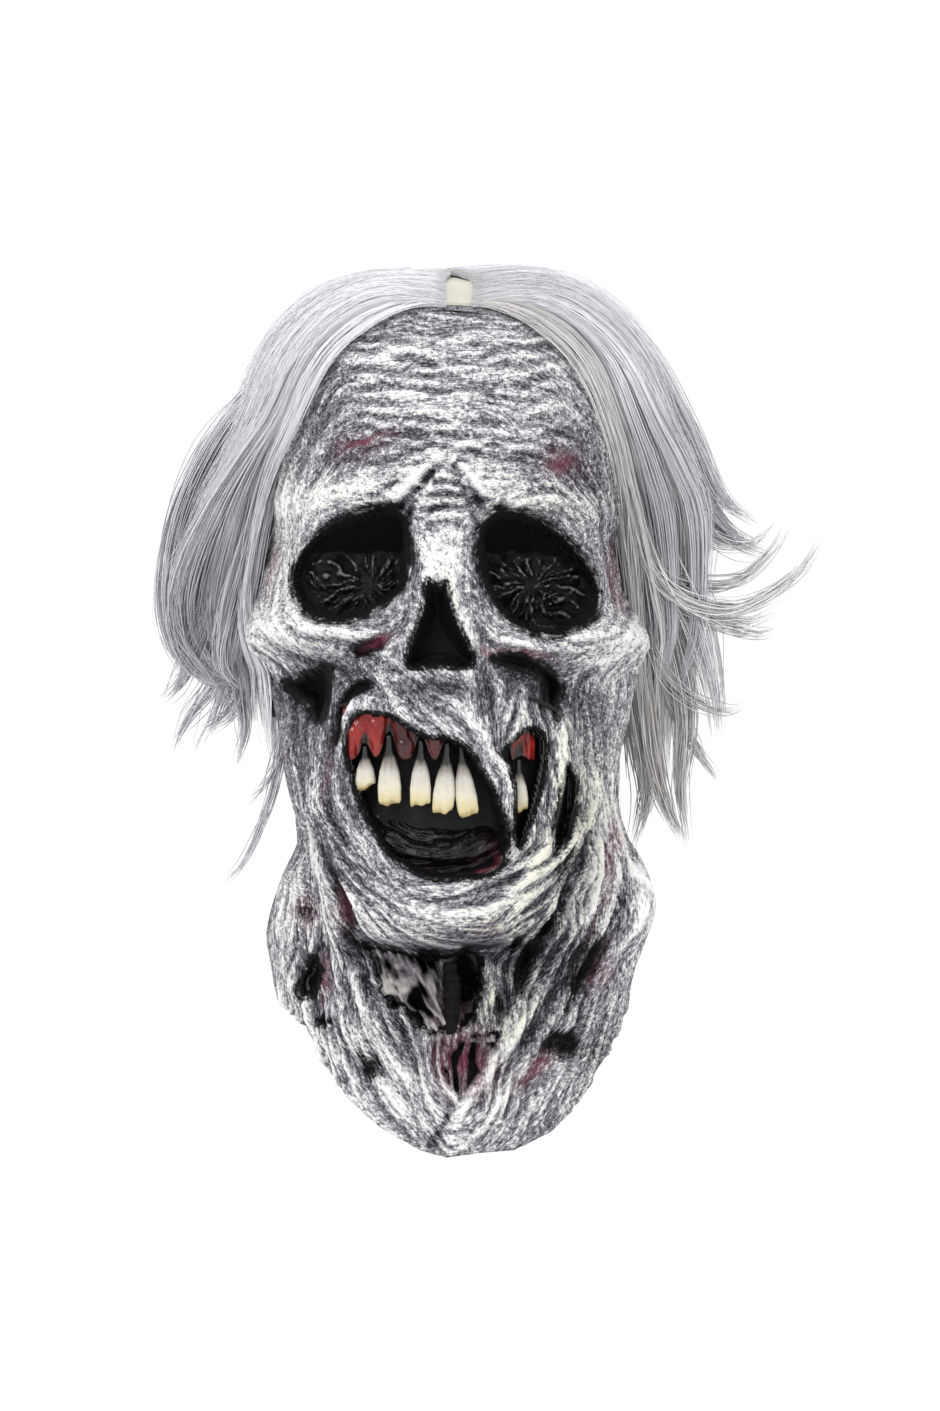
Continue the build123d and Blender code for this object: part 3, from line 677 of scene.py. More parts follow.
def new_mesh(name, points_mm, faces, materials, normals=None, attributes=None, slots=None):
    """Mesh object from arrays; faces is (n, 3) or (n, 4)."""
    mesh = bpy.data.meshes.new(name)
    corners = faces.shape[1]
    mesh.vertices.add(len(points_mm))
    mesh.vertices.foreach_set("co", (np.asarray(points_mm) * MM).astype(np.float32).ravel())
    mesh.loops.add(faces.size)
    mesh.loops.foreach_set("vertex_index", faces.astype(np.int32).ravel())
    mesh.polygons.add(len(faces))
    mesh.polygons.foreach_set("loop_start", np.arange(0, faces.size, corners, dtype=np.int32))
    mesh.polygons.foreach_set("loop_total", np.full(len(faces), corners, np.int32))
    mesh.update(calc_edges=True)
    mesh.polygons.foreach_set("use_smooth", np.ones(len(faces), bool))
    if slots is not None:
        mesh.polygons.foreach_set("material_index", slots.astype(np.int32))
    for key, values in (attributes or {}).items():
        layer = mesh.attributes.new(key, "FLOAT", "POINT")
        layer.data.foreach_set("value", np.asarray(values, np.float32))
    for material in materials:
        mesh.materials.append(material)
    mesh.validate()
    if normals is not None:
        mesh.normals_split_custom_set_from_vertices(normals.astype(np.float32).tolist())
    obj = bpy.data.objects.new(name, mesh)
    bpy.context.scene.collection.objects.link(obj)
    return obj


def sub_mesh(name, points, quads, pick, materials, normals, attributes, slots):
    """The picked faces of a larger mesh, with its normals kept so that neighbours shade as one."""
    chosen = quads[pick]
    used, local = np.unique(chosen, return_inverse=True)
    kept = {k: v[used] for k, v in attributes.items()}
    faces = local.reshape(chosen.shape)
    return new_mesh(name, points[used], faces, materials, normals[used], kept, slots[pick])


BANDS = ["skin_rear", "skin_crown", "skin_forehead", "skin_eyes", "skin_cheeks", "skin_jaw", "skin_throat",
         "skin_bib"]
BAND_EDGES = [52, 100, 165, 230, 290, 330]      # depth below the origin where one band ends


def build_skin(outside, inside, lid):
    outer, inner, cut, masks = sculpt()
    rows, columns = cut.shape
    r, c = np.meshgrid(np.arange(rows - 1), np.arange(columns), indexing="ij")
    nxt = (c + 1) % columns
    quads = np.stack([r * columns + c, (r + 1) * columns + c, (r + 1) * columns + nxt, r * columns + nxt], -1)
    quads, column = quads.reshape(-1, 4), c.ravel()
    mid = outer.reshape(-1, 3)[quads].mean(1)
    slit = (column == FRONT_COLUMNS + BACK_COLUMNS - 2) & (mid[:, 2] < SLIT_TOP)
    keep = (cut.ravel()[quads].sum(1) < 3) & ~slit
    quads, mid, column = quads[keep], mid[keep], column[keep]

    # inner skin, and a rim along every open edge but the crown's
    count = rows * columns
    points = np.concatenate([outer.reshape(-1, 3), inner.reshape(-1, 3)])
    attributes = {k: np.tile(v.ravel(), 2) for k, v in masks.items()}
    edges = np.concatenate([np.stack([quads[:, i], quads[:, (i + 1) % 4]], 1) for i in range(4)])
    owner = np.tile(np.arange(len(quads)), 4)
    key = edges.min(1) * np.int64(count) + edges.max(1)
    _, inverse, times = np.unique(key, return_inverse=True, return_counts=True)
    rim = (times[inverse] == 1) & ~((edges[:, 0] < columns) & (edges[:, 1] < columns))
    a, b = edges[rim, 0], edges[rim, 1]
    everything = np.concatenate([quads, quads[:, ::-1] + count, np.stack([b, a, a + count, b + count], 1)])
    normals = vertex_normals(points, everything)

    is_front = column < FRONT_COLUMNS - 1
    in_flap = ~is_front & (mid[:, 2] < SLIT_TOP) & (np.abs(mid[:, 0]) < FLAP_HALF_WIDTH)
    label = np.zeros(len(quads), int)
    label[is_front] = 1 + np.digitize(-mid[is_front, 2], BAND_EDGES)
    label[in_flap] = np.where(mid[in_flap, 0] > 0, len(BANDS), len(BANDS) + 1)
    labels = np.concatenate([label, label, label[owner[rim]]])
    on_lid = (masks["lid"].ravel()[quads].min(1) > 0.4).astype(int) * 2
    slots = np.concatenate([on_lid, np.ones(len(quads), int), np.zeros(len(a), int)])
    pieces = {}
    for i, name in enumerate(BANDS + ["skin_flap_left", "skin_flap_right"]):
        pieces[name] = sub_mesh(name, points, everything, labels == i, [outside, inside, lid], normals,
                                attributes, slots)
    return pieces


# ---- materials ----------------------------------------------------------------------------
class Value:
    """A shader value that takes part in sums and products like a number."""

    def __init__(self, nodes, socket):
        self.nodes, self.socket = nodes, socket

    def __add__(self, other):
        return self.nodes.math("ADD", self, other)

    def __sub__(self, other):
        return self.nodes.math("SUBTRACT", self, other)

    def __mul__(self, other):
        return self.nodes.math("MULTIPLY", self, other)

    def __truediv__(self, other):
        return self.nodes.math("DIVIDE", self, other)

    def __pow__(self, other):
        return self.nodes.math("POWER", self, other)

    __radd__, __rmul__ = __add__, __mul__

    def clamped(self):
        return self.nodes.math("ADD", self, 0.0, use_clamp=True)


class Nodes:
    """Short hand for building the node tree of one material."""

    def __init__(self, name):
        self.material = bpy.data.materials.new(name)
        self.material.use_nodes = True
        self.tree = self.material.node_tree
        self.place = self.node("ShaderNodeTexCoord", output="Object")

    def feed(self, socket, value):
        if isinstance(value, Value):
            self.tree.links.new(value.socket, socket)
        elif socket.type == "RGBA":
            socket.default_value = (*value, 1)
        else:
            socket.default_value = value

    def node(self, kind, inputs=None, output=0, **settings):
        n = self.tree.nodes.new(kind)
        for key, value in settings.items():
            setattr(n, key, value)
        for key, value in (inputs or {}).items():
            self.feed(n.inputs[key], value)
        return Value(self, n.outputs[output])

    def math(self, operation, a, b, **settings):
        return self.node("ShaderNodeMath", {0: a, 1: b}, operation=operation, **settings)

    def attributes(self, *names):
        return [self.node("ShaderNodeAttribute", output="Fac", attribute_name=name) for name in names]

    def scaled(self, *scale):
        return self.node("ShaderNodeMapping", {"Vector": self.place, "Scale": scale})

    def noise(self, scale, detail, rough, place=None):
        return self.node("ShaderNodeTexNoise", {
            "Vector": place or self.place, "Scale": scale, "Detail": detail, "Roughness": rough})

    def ramp(self, value, stops):
        color = self.node("ShaderNodeValToRGB", {"Fac": value})
        elements = color.socket.node.color_ramp.elements
        while len(elements) < len(stops):
            elements.new(0.5)
        for element, (position, shade) in zip(elements, stops):
            element.position, element.color = position, (*shade, 1)
        return color

    def step(self, value, low, high):
        """Smooth step from 0 at low to 1 at high."""
        inputs = {"Value": value, 1: low, 2: high}
        return self.node("ShaderNodeMapRange", inputs, interpolation_type="SMOOTHSTEP")

    def mix(self, share, a, b, mode="MIX"):
        return self.node("ShaderNodeMix", {0: share, 6: a, 7: b}, 2, data_type="RGBA", blend_type=mode)

    def finish(self, bump=None, **sockets):
        """The material, with its shader fed; bump is a height, a distance and a strength."""
        if bump:
            height, distance, strength = bump
            sockets["Normal"] = self.node(
                "ShaderNodeBump", {"Height": height, "Distance": distance, "Strength": strength})
        for name, value in sockets.items():
            self.feed(self.tree.nodes["Principled BSDF"].inputs[name.replace("_", " ")], value)
        return self.material


BLACK = (0.004, 0.004, 0.005)


def fibres(m, scale, stretch):
    """Fine streaks that follow the lie of the skin: noise drawn out four ways and weighted by the grain."""
    along, across = m.attributes("grain_c", "grain_s")
    total, weights = 0.0, 0.0
    for degrees in (0, 45, 90, 135):
        turn = math.radians(degrees)
        place = m.node("ShaderNodeMapping", {
            "Vector": m.place, "Rotation": (0, turn, 0), "Scale": (stretch, 1.6, 1.0)}, vector_type="TEXTURE")
        aligned = along * math.cos(2 * turn) + across * math.sin(2 * turn)
        weight = (aligned * 0.5 + 0.5).clamped() ** 3.0
        total = (m.noise(scale, 3.0, 0.6, place) - 0.5) * weight + total
        weights = weight + weights
    return total / weights


def painted_latex():
    m = Nodes("painted_latex")
    relief, black, bone, stretched = m.attributes("relief", "black", "bone", "stretched")
    shade, light, cream, red = m.attributes("shade", "light", "cream", "red")
    fine, grit, cloud = m.noise(1300, 3, 0.7), m.noise(520, 4, 0.7), m.noise(60, 3, 0.6)
    streak = fibres(m, 1150, 5.0)
    value = relief * 0.19 + 0.522 + streak * (stretched * 0.5 + 1.5)
    value = value + (fine + grit - 1.0) * (stretched * -0.55 + 1.05) + (cloud - 0.5) * 0.3
    value = value + bone * 0.09 - stretched * 0.03 + light - shade * 0.30
    color = m.ramp(value, [
        (0.0, (0.007, 0.007, 0.008)), (0.20, (0.036, 0.035, 0.042)), (0.37, (0.115, 0.112, 0.130)),
        (0.51, (0.225, 0.221, 0.245)), (0.66, (0.47, 0.47, 0.48)), (0.84, (0.76, 0.76, 0.75))])
    color = m.mix((cream * (value * 1.4 - 0.35).clamped()).clamped(), color, (0.96, 0.94, 0.80), "MULTIPLY")
    color = m.mix((red * (value * -0.75 + 0.95)).clamped(), color, (0.17, 0.035, 0.06))
    soot = m.step(black + grit - 0.5 - streak * 0.9 - relief * 0.08, 0.12, 0.7)
    height = fine * 0.5 + grit * 0.7 + streak * 1.2
    return m.finish((height, 0.0006, 0.8), Base_Color=m.mix(soot, color, BLACK), Roughness=value * 0.1 + 0.55,
                    Specular_IOR_Level=0.1)


def shrivelled_lid():
    """Black wrinkled skin low in the eye sockets."""
    m = Nodes("shrivelled_lid")
    fold, grit, fine = *m.attributes("lidfold"), m.noise(420, 4, 0.7), m.noise(1100, 3, 0.6)
    glint = m.step((grit - 0.5) * 1.5 + fold, 0.6, 1.15)
    return m.finish((grit + fine * 0.4, 0.0012, 0.9), Base_Color=m.mix(glint, BLACK, (0.15, 0.15, 0.155)),
                    Roughness=fine * 0.25 + 0.25, Specular_IOR_Level=0.14)


def bare_latex():
    m = Nodes("bare_latex_inside")
    cloud, grit = m.noise(25, 4, 0.6), m.noise(300, 3, 0.6)
    return m.finish((cloud + grit * 0.3, 0.001, 0.6), Roughness=grit * 0.2 + 0.55,
                    Base_Color=m.mix(cloud, (0.045, 0.042, 0.045), (0.12, 0.11, 0.105)))


skin = build_skin(painted_latex(), bare_latex(), shrivelled_lid())
for name in BANDS:
    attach(skin[name], "mask")
for side, name in ((1, "left"), (-1, "right")):
    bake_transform(skin["skin_flap_" + name], "mask", name + "_flap",
             start=(side * 0.030, HINGE_Y * MM, -0.240), end=(0, HINGE_Y * MM, -0.335))
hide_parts("face_casting", "nose_lining", "right_socket_lining", "left_socket_lining")
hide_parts("sinew_inner", "sinew_outer")
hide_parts("rear_scalp_casting")
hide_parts("neck_casting", "tear_patches")
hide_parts("back_flap_left")
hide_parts("back_flap_right")


# ---- closed forms out of grids ------------------------------------------------------------
def placed(piece, slot, *replaced):
    """Gives a piece of the mask its body and hides the CAD nodes that it stands for; slot is not used."""
    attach(piece, "mask")
    if replaced:
        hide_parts(*replaced)


def slab(name, front, back, materials, attributes):
    """Closed body between two point grids of the same size."""
    rows, columns = front.shape[:2]
    count = rows * columns
    r, c = (g.ravel() for g in np.meshgrid(np.arange(rows - 1), np.arange(columns - 1), indexing="ij"))
    here, below = r * columns + c, (r + 1) * columns + c
    quads = np.stack([here, below, below + 1, here + 1], 1)
    a = np.concatenate([
        np.arange(columns), np.arange(1, rows) * columns + columns - 1,
        (rows - 1) * columns + np.arange(columns - 2, -1, -1), np.arange(rows - 2, 0, -1) * columns])
    b = np.roll(a, -1)
    faces = np.concatenate([quads, quads[:, ::-1] + count, np.stack([a, b, b + count, a + count], 1)])
    points = np.concatenate([front.reshape(-1, 3), back.reshape(-1, 3)])
    both = {k: np.tile(v.ravel(), 2) for k, v in attributes.items()}
    return new_mesh(name, points, faces, materials, None, both)


def capped_tube(name, rings, materials, attributes):
    """Closed body through rings of points."""
    rows, columns = rings.shape[:2]
    r, c = (g.ravel() for g in np.meshgrid(np.arange(rows - 1), np.arange(columns), indexing="ij"))
    nxt = (c + 1) % columns
    a, b, d, e = r * columns + c, r * columns + nxt, (r + 1) * columns + nxt, (r + 1) * columns + c
    first, last = np.full(columns, rows * columns), np.full(columns, rows * columns + 1)
    i = np.arange(columns)
    j, end = (i + 1) % columns, (rows - 1) * columns
    triangles = np.concatenate([np.stack(corners, 1) for corners in (
        (a, b, d), (a, d, e), (first, j, i), (last, end + i, end + j))])
    points = np.concatenate([rings.reshape(-1, 3), [rings[0].mean(0)], [rings[-1].mean(0)]])
    grown = {k: np.concatenate([v.ravel(), [v[0].mean(), v[-1].mean()]]) for k, v in attributes.items()}
    return new_mesh(name, points, triangles, materials, None, grown)


# ---- mouth --------------------------------------------------------------------------------
# x at the root and at the bite, z at the root and at the bite, width, how broken the bite is.
TEETH = [
    (-36.2, -35.8, -216, -236.5, 9.4, 1.0), (-25.2, -24.9, -211, -242.6, 10.8, 0.15),
    (-10.8, -11.0, -213, -243.0, 9.6, 0.1), (1.2, -1.0, -214, -246.0, 10.0, 0.1),
    (7.6, 10.9, -215, -247.4, 10.0, 0.1), (33.5, 33.8, -222, -246.0, 8.6, 0.2),
]
TOOTH_LEVELS = np.concatenate([np.linspace(0, 0.93, 26), [0.965, 0.985, 0.997, 1.0]])
GUM_ENDS = (-46.5, 41.0)
GUM_TOP = -197
GUM_HEM = -222.5
GUM_FRONT = 0.62            # share of the gum's rings that lies on its front


def arch(x):
    """How far forward the row of teeth stands."""
    return -102.5 + 0.006 * x * x


def tooth_enamel():
    m = Nodes("tooth_enamel")
    cracks, stain = m.noise(260, 4, 0.65, m.scaled(4, 1, 0.35)), m.noise(130, 3, 0.6)
    value = (stain - 0.5) * 0.22 + (cracks - 0.5) * 0.16 + m.attributes("along")[0]
    color = m.ramp(value, [
        (0.0, (0.004, 0.004, 0.004)), (0.29, (0.010, 0.009, 0.008)), (0.38, (0.20, 0.18, 0.16)),
        (0.52, (0.46, 0.44, 0.40)), (0.75, (0.58, 0.55, 0.44)), (0.93, (0.55, 0.47, 0.25)),
        (1.0, (0.36, 0.28, 0.12))])
    color = m.mix((cracks * -3.0 + 1.25).clamped(), color, (0.3, 0.25, 0.2), "MULTIPLY")
    return m.finish((cracks, 0.0004, 0.5), Base_Color=color, Roughness=stain * 0.2 + 0.18,
                    Specular_IOR_Level=0.5)


def wet_gum():
    m = Nodes("wet_gum")
    dulled, soot = m.attributes("dulled", "soot")
    veins, patches = m.noise(240, 4, 0.6, m.scaled(2.2, 1, 0.6)), m.noise(90, 3, 0.6)
    red = m.ramp(patches, [
        (0.25, (0.08, 0.004, 0.003)), (0.5, (0.22, 0.010, 0.007)), (0.75, (0.30, 0.024, 0.014))])
    dull = m.ramp(patches, [
        (0.25, (0.02, 0.002, 0.003)), (0.55, (0.06, 0.005, 0.006)), (0.8, (0.11, 0.010, 0.010))])
    color = m.mix((veins * 3.2 - 2.15).clamped(), m.mix(dulled, red, dull), (0.30, 0.2, 0.19))
    color = m.mix(soot, color, (0.006, 0.004, 0.004))
    return m.finish((patches + veins * 0.5, 0.0012, 0.7), Base_Color=color, Roughness=patches * 0.16 + 0.08,
                    Specular_IOR_Level=0.3, Coat_Weight=0.25, Coat_Roughness=0.05)


def black_flesh():
    m = Nodes("black_flesh")
    ridge, red = m.attributes("ridge", "red")
    grain, patches = m.noise(500, 3, 0.6), m.noise(120, 3, 0.6)
    shine = (ridge * (grain * 3.5 - 1.6).clamped()).clamped()
    color = m.mix(shine, (0.003, 0.003, 0.004), (0.042, 0.04, 0.042))
    color = m.mix((red * (patches * 1.6 - 0.2).clamped()).clamped(), color, (0.085, 0.014, 0.022))
    return m.finish((grain + patches, 0.0008, 0.7), Base_Color=color, Roughness=grain * 0.2 + 0.14,
                    Specular_IOR_Level=0.22)


def torn_tissue():
    m = Nodes("torn_tissue")
    ridge, deep_shade, pale, flesh = m.attributes("ridge", "deep_shade", "pale", "flesh")
    grit, grain = m.noise(420, 4, 0.7), m.noise(900, 3, 0.6)
    value = ridge * 0.40 + grit * 0.8 - 0.16
    color = m.ramp(value, [
        (0.1, (0.012, 0.011, 0.013)), (0.4, (0.11, 0.10, 0.115)), (0.62, (0.3, 0.27, 0.3)),
        (0.85, (0.5, 0.49, 0.47))])
    color = m.mix((flesh * (grit * 1.3 - 0.05).clamped()).clamped(), color, (0.28, 0.09, 0.13))
    color = m.mix((pale * (value * 1.6 - 0.3).clamped()).clamped(), color, (0.46, 0.45, 0.40))
    # painted shade: black where the tissue lies deep
    return m.finish((grit + grain, 0.0008, 0.8), Base_Color=m.mix(deep_shade, color, BLACK),
                    Roughness=grain * 0.2 + 0.55, Specular_IOR_Level=0.08)


def build_teeth(enamel):
    t = TOOTH_LEVELS[:, None]
    share = np.interp(t, [0, 0.2, 0.36, 0.52, 0.74, 0.93, 0.985, 1.0],
                      [0.26, 0.34, 0.58, 0.84, 1.0, 0.97, 0.86, 0.5])
    thick = np.interp(t, [0, 0.3, 0.55, 0.8, 0.95, 1.0], [2.0, 2.9, 3.1, 2.3, 1.5, 0.6])
    turn = np.linspace(0, 2 * np.pi, 28, endpoint=False)
    c, s = np.cos(turn), np.sin(turn)
    across = np.sign(c) * np.abs(c) ** 0.8
    outward = np.where(s < 0, -np.abs(s) ** 0.75, np.abs(s) ** 0.9 * 0.8)
    for index, (root_x, bite_x, root_z, bite_z, width, broken) in enumerate(TEETH):
        cx, cz = root_x + (bite_x - root_x) * t ** 1.3, root_z + (bite_z - root_z) * t
        x = cx + width / 2 * share * across
        y = arch(cx) - 1.2 + thick * outward + 1.6 * (t - 0.5) ** 2
        z = cz + 0 * x
        wear = noise(x / 2.6, index * 7.0, 61)
        z = z + smooth(0.8, 1.0, t) * (0.8 * wear + broken * (2.4 * wear + 0.5 * (x - cx)))
        y = y - 0.35 * noise(x / 1.7, z / 9, 62, index) * smooth(0.3, 0.5, t)
        rings = np.stack([x, y, z], -1)
        piece = capped_tube(f"tooth_{index + 1}_crown", rings, [enamel], {"along": t + 0 * x})
        placed(piece, "tooth", f"tooth_{index + 1}")


def build_gum(material):
    x = np.linspace(*GUM_ENDS, 150)
    hem = np.full(x.shape, GUM_HEM)
    for root_x, _, root_z, _, width, _ in TEETH:
        hem += np.exp(-((x - root_x) / (0.30 * width)) ** 2) * (root_z - GUM_HEM + 1.0)
    hem += 1.1 * noise(x / 4, 0.0, 65)
    hem = np.where((x > 20) & (x < 30), hem + 7 * np.sin(np.pi * (x - 20) / 10), hem)
    gx, gs = np.meshgrid(x, np.linspace(0, 1, 60))
    share = np.clip(gs / GUM_FRONT, 0, 1)
    z = GUM_TOP + (hem + 1.6 - GUM_TOP) * share
    roots = sum(np.exp(-((gx - tooth[0]) / 3.6) ** 2) for tooth in TEETH)
    between = 1 - np.clip(roots, 0, 1)
    bulge = 3.0 * between * smooth(0, 0.5, share) * smooth(1.08, 0.7, share)
    bulge += 1.1 * roots * smooth(0.9, 0.2, share)
    bulge += 1.1 * noise(gx / 2.6, z / 7, 66) + 0.5 * noise(gx / 1.6, z / 3, 67)
    # the hem curls under, and the back rises behind the teeth
    curl = np.clip((gs - GUM_FRONT) / 0.18, 0, 1)
    back = np.clip((gs - 0.80) / 0.20, 0, 1)
    ends = np.minimum(smooth(-46.5, -43, gx), smooth(41, 37.5, gx))
    y = arch(gx) - 2.2 - bulge + 1.7 * (1 - np.cos(np.pi * curl)) + 2.2 * back + 5 * (1 - ends)
    z = z - 1.5 * np.sin(np.pi * curl) + 22.0 * back
    dulled = smooth(-34, -20, gx) * (1 - smooth(26, 32, gx))
    soot = np.max([
        np.clip(roots ** 2 * smooth(0.6, 0.95, share) * 1.3 + smooth(0.6, 0.7, gs), 0, 1),
        smooth(0.2, 0.0, share) * 0.9, smooth(31.5, 30, gx) * smooth(18, 22, gx),
        smooth(5.2, 7.2, np.hypot(gx - 36, (z + 218) * 0.8)) * (gx > 27)], axis=0)
    rings = np.stack([gx, y, z], -1).transpose(1, 0, 2)
    piece = capped_tube("gum_upper", rings, [material], {"dulled": dulled.T, "soot": soot.T})
    placed(piece, "gum", "upper_gum")


def build_lower_mouth(material):
    u, v = np.meshgrid(np.linspace(-1, 1, 150), np.linspace(0, 1, 90))
    x = -6 + 37 * u
    top, low = -250 - 3.0 * np.cos(np.pi * u) - 5 * u, -284 + 22 * np.abs(u) ** 2.6
    z = top + (low - top) * v
    # folds run round the hollow of the mouth
    rho, turn = np.hypot((x + 6) / 1.25, z + 236), np.arctan2(z + 236, (x + 6) / 1.25)
    folds = noise(turn * 2.0 + 0.6 * noise(x / 8, z / 8, 71), rho / 2.5 + 1.1 * noise(x / 12, z / 6, 72), 73)
    folds += 0.25 * noise(turn * 5, rho / 1.3, 74)
    hollow = 3.0 * np.exp(-((v - 0.62) / 0.1) ** 2) - 3.0 * np.exp(-((v - 0.35) / 0.16) ** 2)
    y = np.maximum(-93 - 15.5 * v ** 0.8 - 2.3 * folds + hollow, -110.5) + 0.0075 * x * x
    front = np.stack([x, y, z], -1)
    rear = np.stack([x * 0.97, -84.0 + 0.004 * x * x, z], -1)
    red = bumps(x, z, [(14, -271, 11, 5, 1.1, -20), (-8, -274, 16, 3.5, 0.7), (22, -262, 4, 8, 0.5)])
    piece = slab("mouth_floor", front, rear, [material], {
        "ridge": np.clip(0.2 + 0.9 * folds, 0, 1) ** 1.5,
        "red": np.clip(red, 0, 1) * np.clip(0.4 + folds, 0, 1)})
    placed(piece, "black_flesh", "lower_palate")


def build_throat(material):
    """Shreds and hollows behind the torn throat; the hollows and the grooves between the shreds are painted
    black as shade.
    """
    x, z = np.meshgrid(np.linspace(-43, 24, 120), np.linspace(-302, -352, 100))
    wx, wz = x + 3.0 * noise(x / 8, z / 8, 86), z + 3.0 * noise(x / 8, z / 8, 87)
    strands = noise((wx + 0.6 * wz) / 4.0 + 0.9 * noise(x / 9, z / 9, 81), (wz - 0.4 * wx) / 9, 82)
    strands += 0.5 * noise((x + 0.5 * z) / 1.5, (z - 0.4 * x) / 6, 84)
    lumps = fractal(x / 7, z / 7, 83)
    deep_shade = np.max([
        np.clip(1.25 * np.exp(-(((x - 9) / 8.5) ** 2 + ((z + 323) / 17) ** 2) ** 1.5), 0, 1),
        bump(x, z, -4, -311, 12, 5, 0.9), 0.95 * smooth(-0.2, -0.6, strands)], axis=0)
    angle = np.arctan2(x, 74)
    pale = bumps(x, z, [
        (-30, -316, 7, 12, 1.2, -20), (-14, -336, 14, 8, 1.2, 30), (-2, -322, 4, 12, 0.8),
        (2, -343, 16, 4.5, 1.1)])
    pale = np.clip(pale, 0, 1) * smooth(0.15, 0.6, strands)
    y = 8.0 - tube_radius(angle, z) * np.cos(angle) - 3.2 * strands - 1.8 * lumps + 7.0 * deep_shade - 3.2 * pale
    front = np.stack([x, y, z], -1)
    piece = slab("throat_tissue", front, front + [0, 3.0, 0], [material], {
        "ridge": np.clip(0.5 + 0.6 * strands + 0.3 * lumps, 0, 1), "deep_shade": deep_shade, "pale": pale,
        "flesh": bump(x, z, 6, -340, 10, 8, 0.6)})
    placed(piece, "black_lining", "throat_lining")


def build_windpipe(material):
    t = np.linspace(0, 1, 120)[:, None]
    turn = np.linspace(0, 2 * np.pi, 28, endpoint=False)[None, :]
    ribs = 0.55 * np.abs(np.sin(np.pi * t * 8)) ** 0.5
    lump = noise(np.cos(turn) * 1.5 + 5, np.sin(turn) * 1.5, 85, t * 9)
    radius = (3.5 + ribs + 0.5 * lump) * (0.82 + 0.18 * np.sin(np.pi * t))
    x = 2.0 + 1.4 * np.sin(3 * t) + radius * np.cos(turn)
    rings = np.stack([x, -68.4 + radius * np.sin(turn), -315.4 - 33 * t + 0 * x], -1)
    # the windpipe is painted almost black all over: painted shade, as it lies deep in the throat
    piece = capped_tube("windpipe_ribbed", rings, [material], {
        "ridge": np.clip(ribs + 0.4 * lump, 0, 1), "deep_shade": 0 * x + 0.975, "pale": 0 * x,
        "flesh": 0 * x + 0.5})
    placed(piece, "windpipe", "windpipe")


build_teeth(tooth_enamel())
build_gum(wet_gum())
build_lower_mouth(black_flesh())
tissue = torn_tissue()
build_throat(tissue)
build_windpipe(tissue)


# ---- CAD parts that stay in view ----------------------------------------------------------
def dark_lining():
    m = Nodes("dark_lining")
    cloud, grit = m.noise(90, 4, 0.6), m.noise(600, 3, 0.6)
    return m.finish((cloud + grit * 0.4, 0.0015, 0.8), Base_Color=m.mix(cloud, BLACK, (0.016, 0.015, 0.016)),
                    Roughness=grit * 0.2 + 0.45, Specular_IOR_Level=0.15)


def wig_net():
    m = Nodes("wig_net")
    weave = m.node("ShaderNodeTexVoronoi", {"Vector": m.place, "Scale": 650}, "Distance",
                   feature="DISTANCE_TO_EDGE")
    color = m.mix((weave * -5.0 + 1.0).clamped(), (0.06, 0.058, 0.065), (0.3, 0.29, 0.32))
    return m.finish((weave, 0.0006, -0.8), Base_Color=color, Roughness=weave * 0.3 + 0.75)


def parting_skin():
    m = Nodes("parting_skin")
    cloud, lines = m.noise(60, 3, 0.5), m.noise(320, 3, 0.6, m.scaled(1, 6, 6))
    color = m.ramp(cloud * 0.5 + lines * 0.5, [
        (0.25, (0.36, 0.35, 0.30)), (0.5, (0.46, 0.45, 0.38)), (0.75, (0.54, 0.54, 0.48))])
    return m.finish((lines, 0.0006, 0.6), Base_Color=color, Roughness=lines * 0.3 + 0.4)


def finish_cad(material, *names):
    for name in names:
        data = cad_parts[name].data
        data.materials.clear()
        data.materials.append(material)


finish_cad(dark_lining(), "mouth_lining")
finish_cad(wig_net(), "wig_cap", *[f"weft_track_{i}" for i in range(1, 7)])
finish_cad(parting_skin(), "parting_strip")


# ---- hair ---------------------------------------------------------------------------------
# The scalp is laid out flat: (theta, phi) is a compass angle round the head (0 in front, 90 to the
# wearer's left) and degrees down from the crown; past 90 the hair hangs, at HANG mm for a degree.
# Each guide runs from the parting to the hem: theta, phi, least and most stand-off from the skin.
HANG = 1.66
STRAIGHT_Z = -182.0         # hair keeps the head's outline down to here
GUIDES_RIGHT = [
    [(0.6, 37, 2.2, 4.0), (-29, 37, 3, 8), (-46, 52, 3, 8), (-56, 78, 3, 10), (-73, 98, 3, 25), (-86, 118, 3,
     37), (-90, 136, 4, 38), (-92, 158, 4, 15)],
    [(1.5, 18, 2.2, 4.0), (-60, 30, 4, 8), (-74, 55, 4, 9), (-80, 78, 5, 13), (-88, 98, 5, 28), (-94, 118, 5,
     37), (-98, 138, 5, 34), (-99, 160, 5, 16)],
    [(110, 4, 2.2, 4.5), (-94, 26, 5, 9), (-104, 54, 5, 10), (-107, 78, 6, 14), (-110, 98, 7, 20), (-113, 118,
     8, 25), (-116, 138, 9, 23), (-119, 162, 8, 15)],
    [(-190, 15, 2.2, 4.5), (-146, 36, 5, 9), (-140, 58, 6, 11), (-140, 80, 7, 13), (-140, 100, 8, 15), (-141,
     120, 9, 16), (-142, 152, 14, 19), (-143, 190, 21, 26)],
    [(-187, 30, 2.2, 4.5), (-184, 46, 5, 9), (-184, 64, 6, 11), (-184, 84, 7, 13), (-183, 102, 8, 14), (-183,
     122, 9, 16), (-182, 152, 14, 19), (-181, 194, 21, 26)],
]
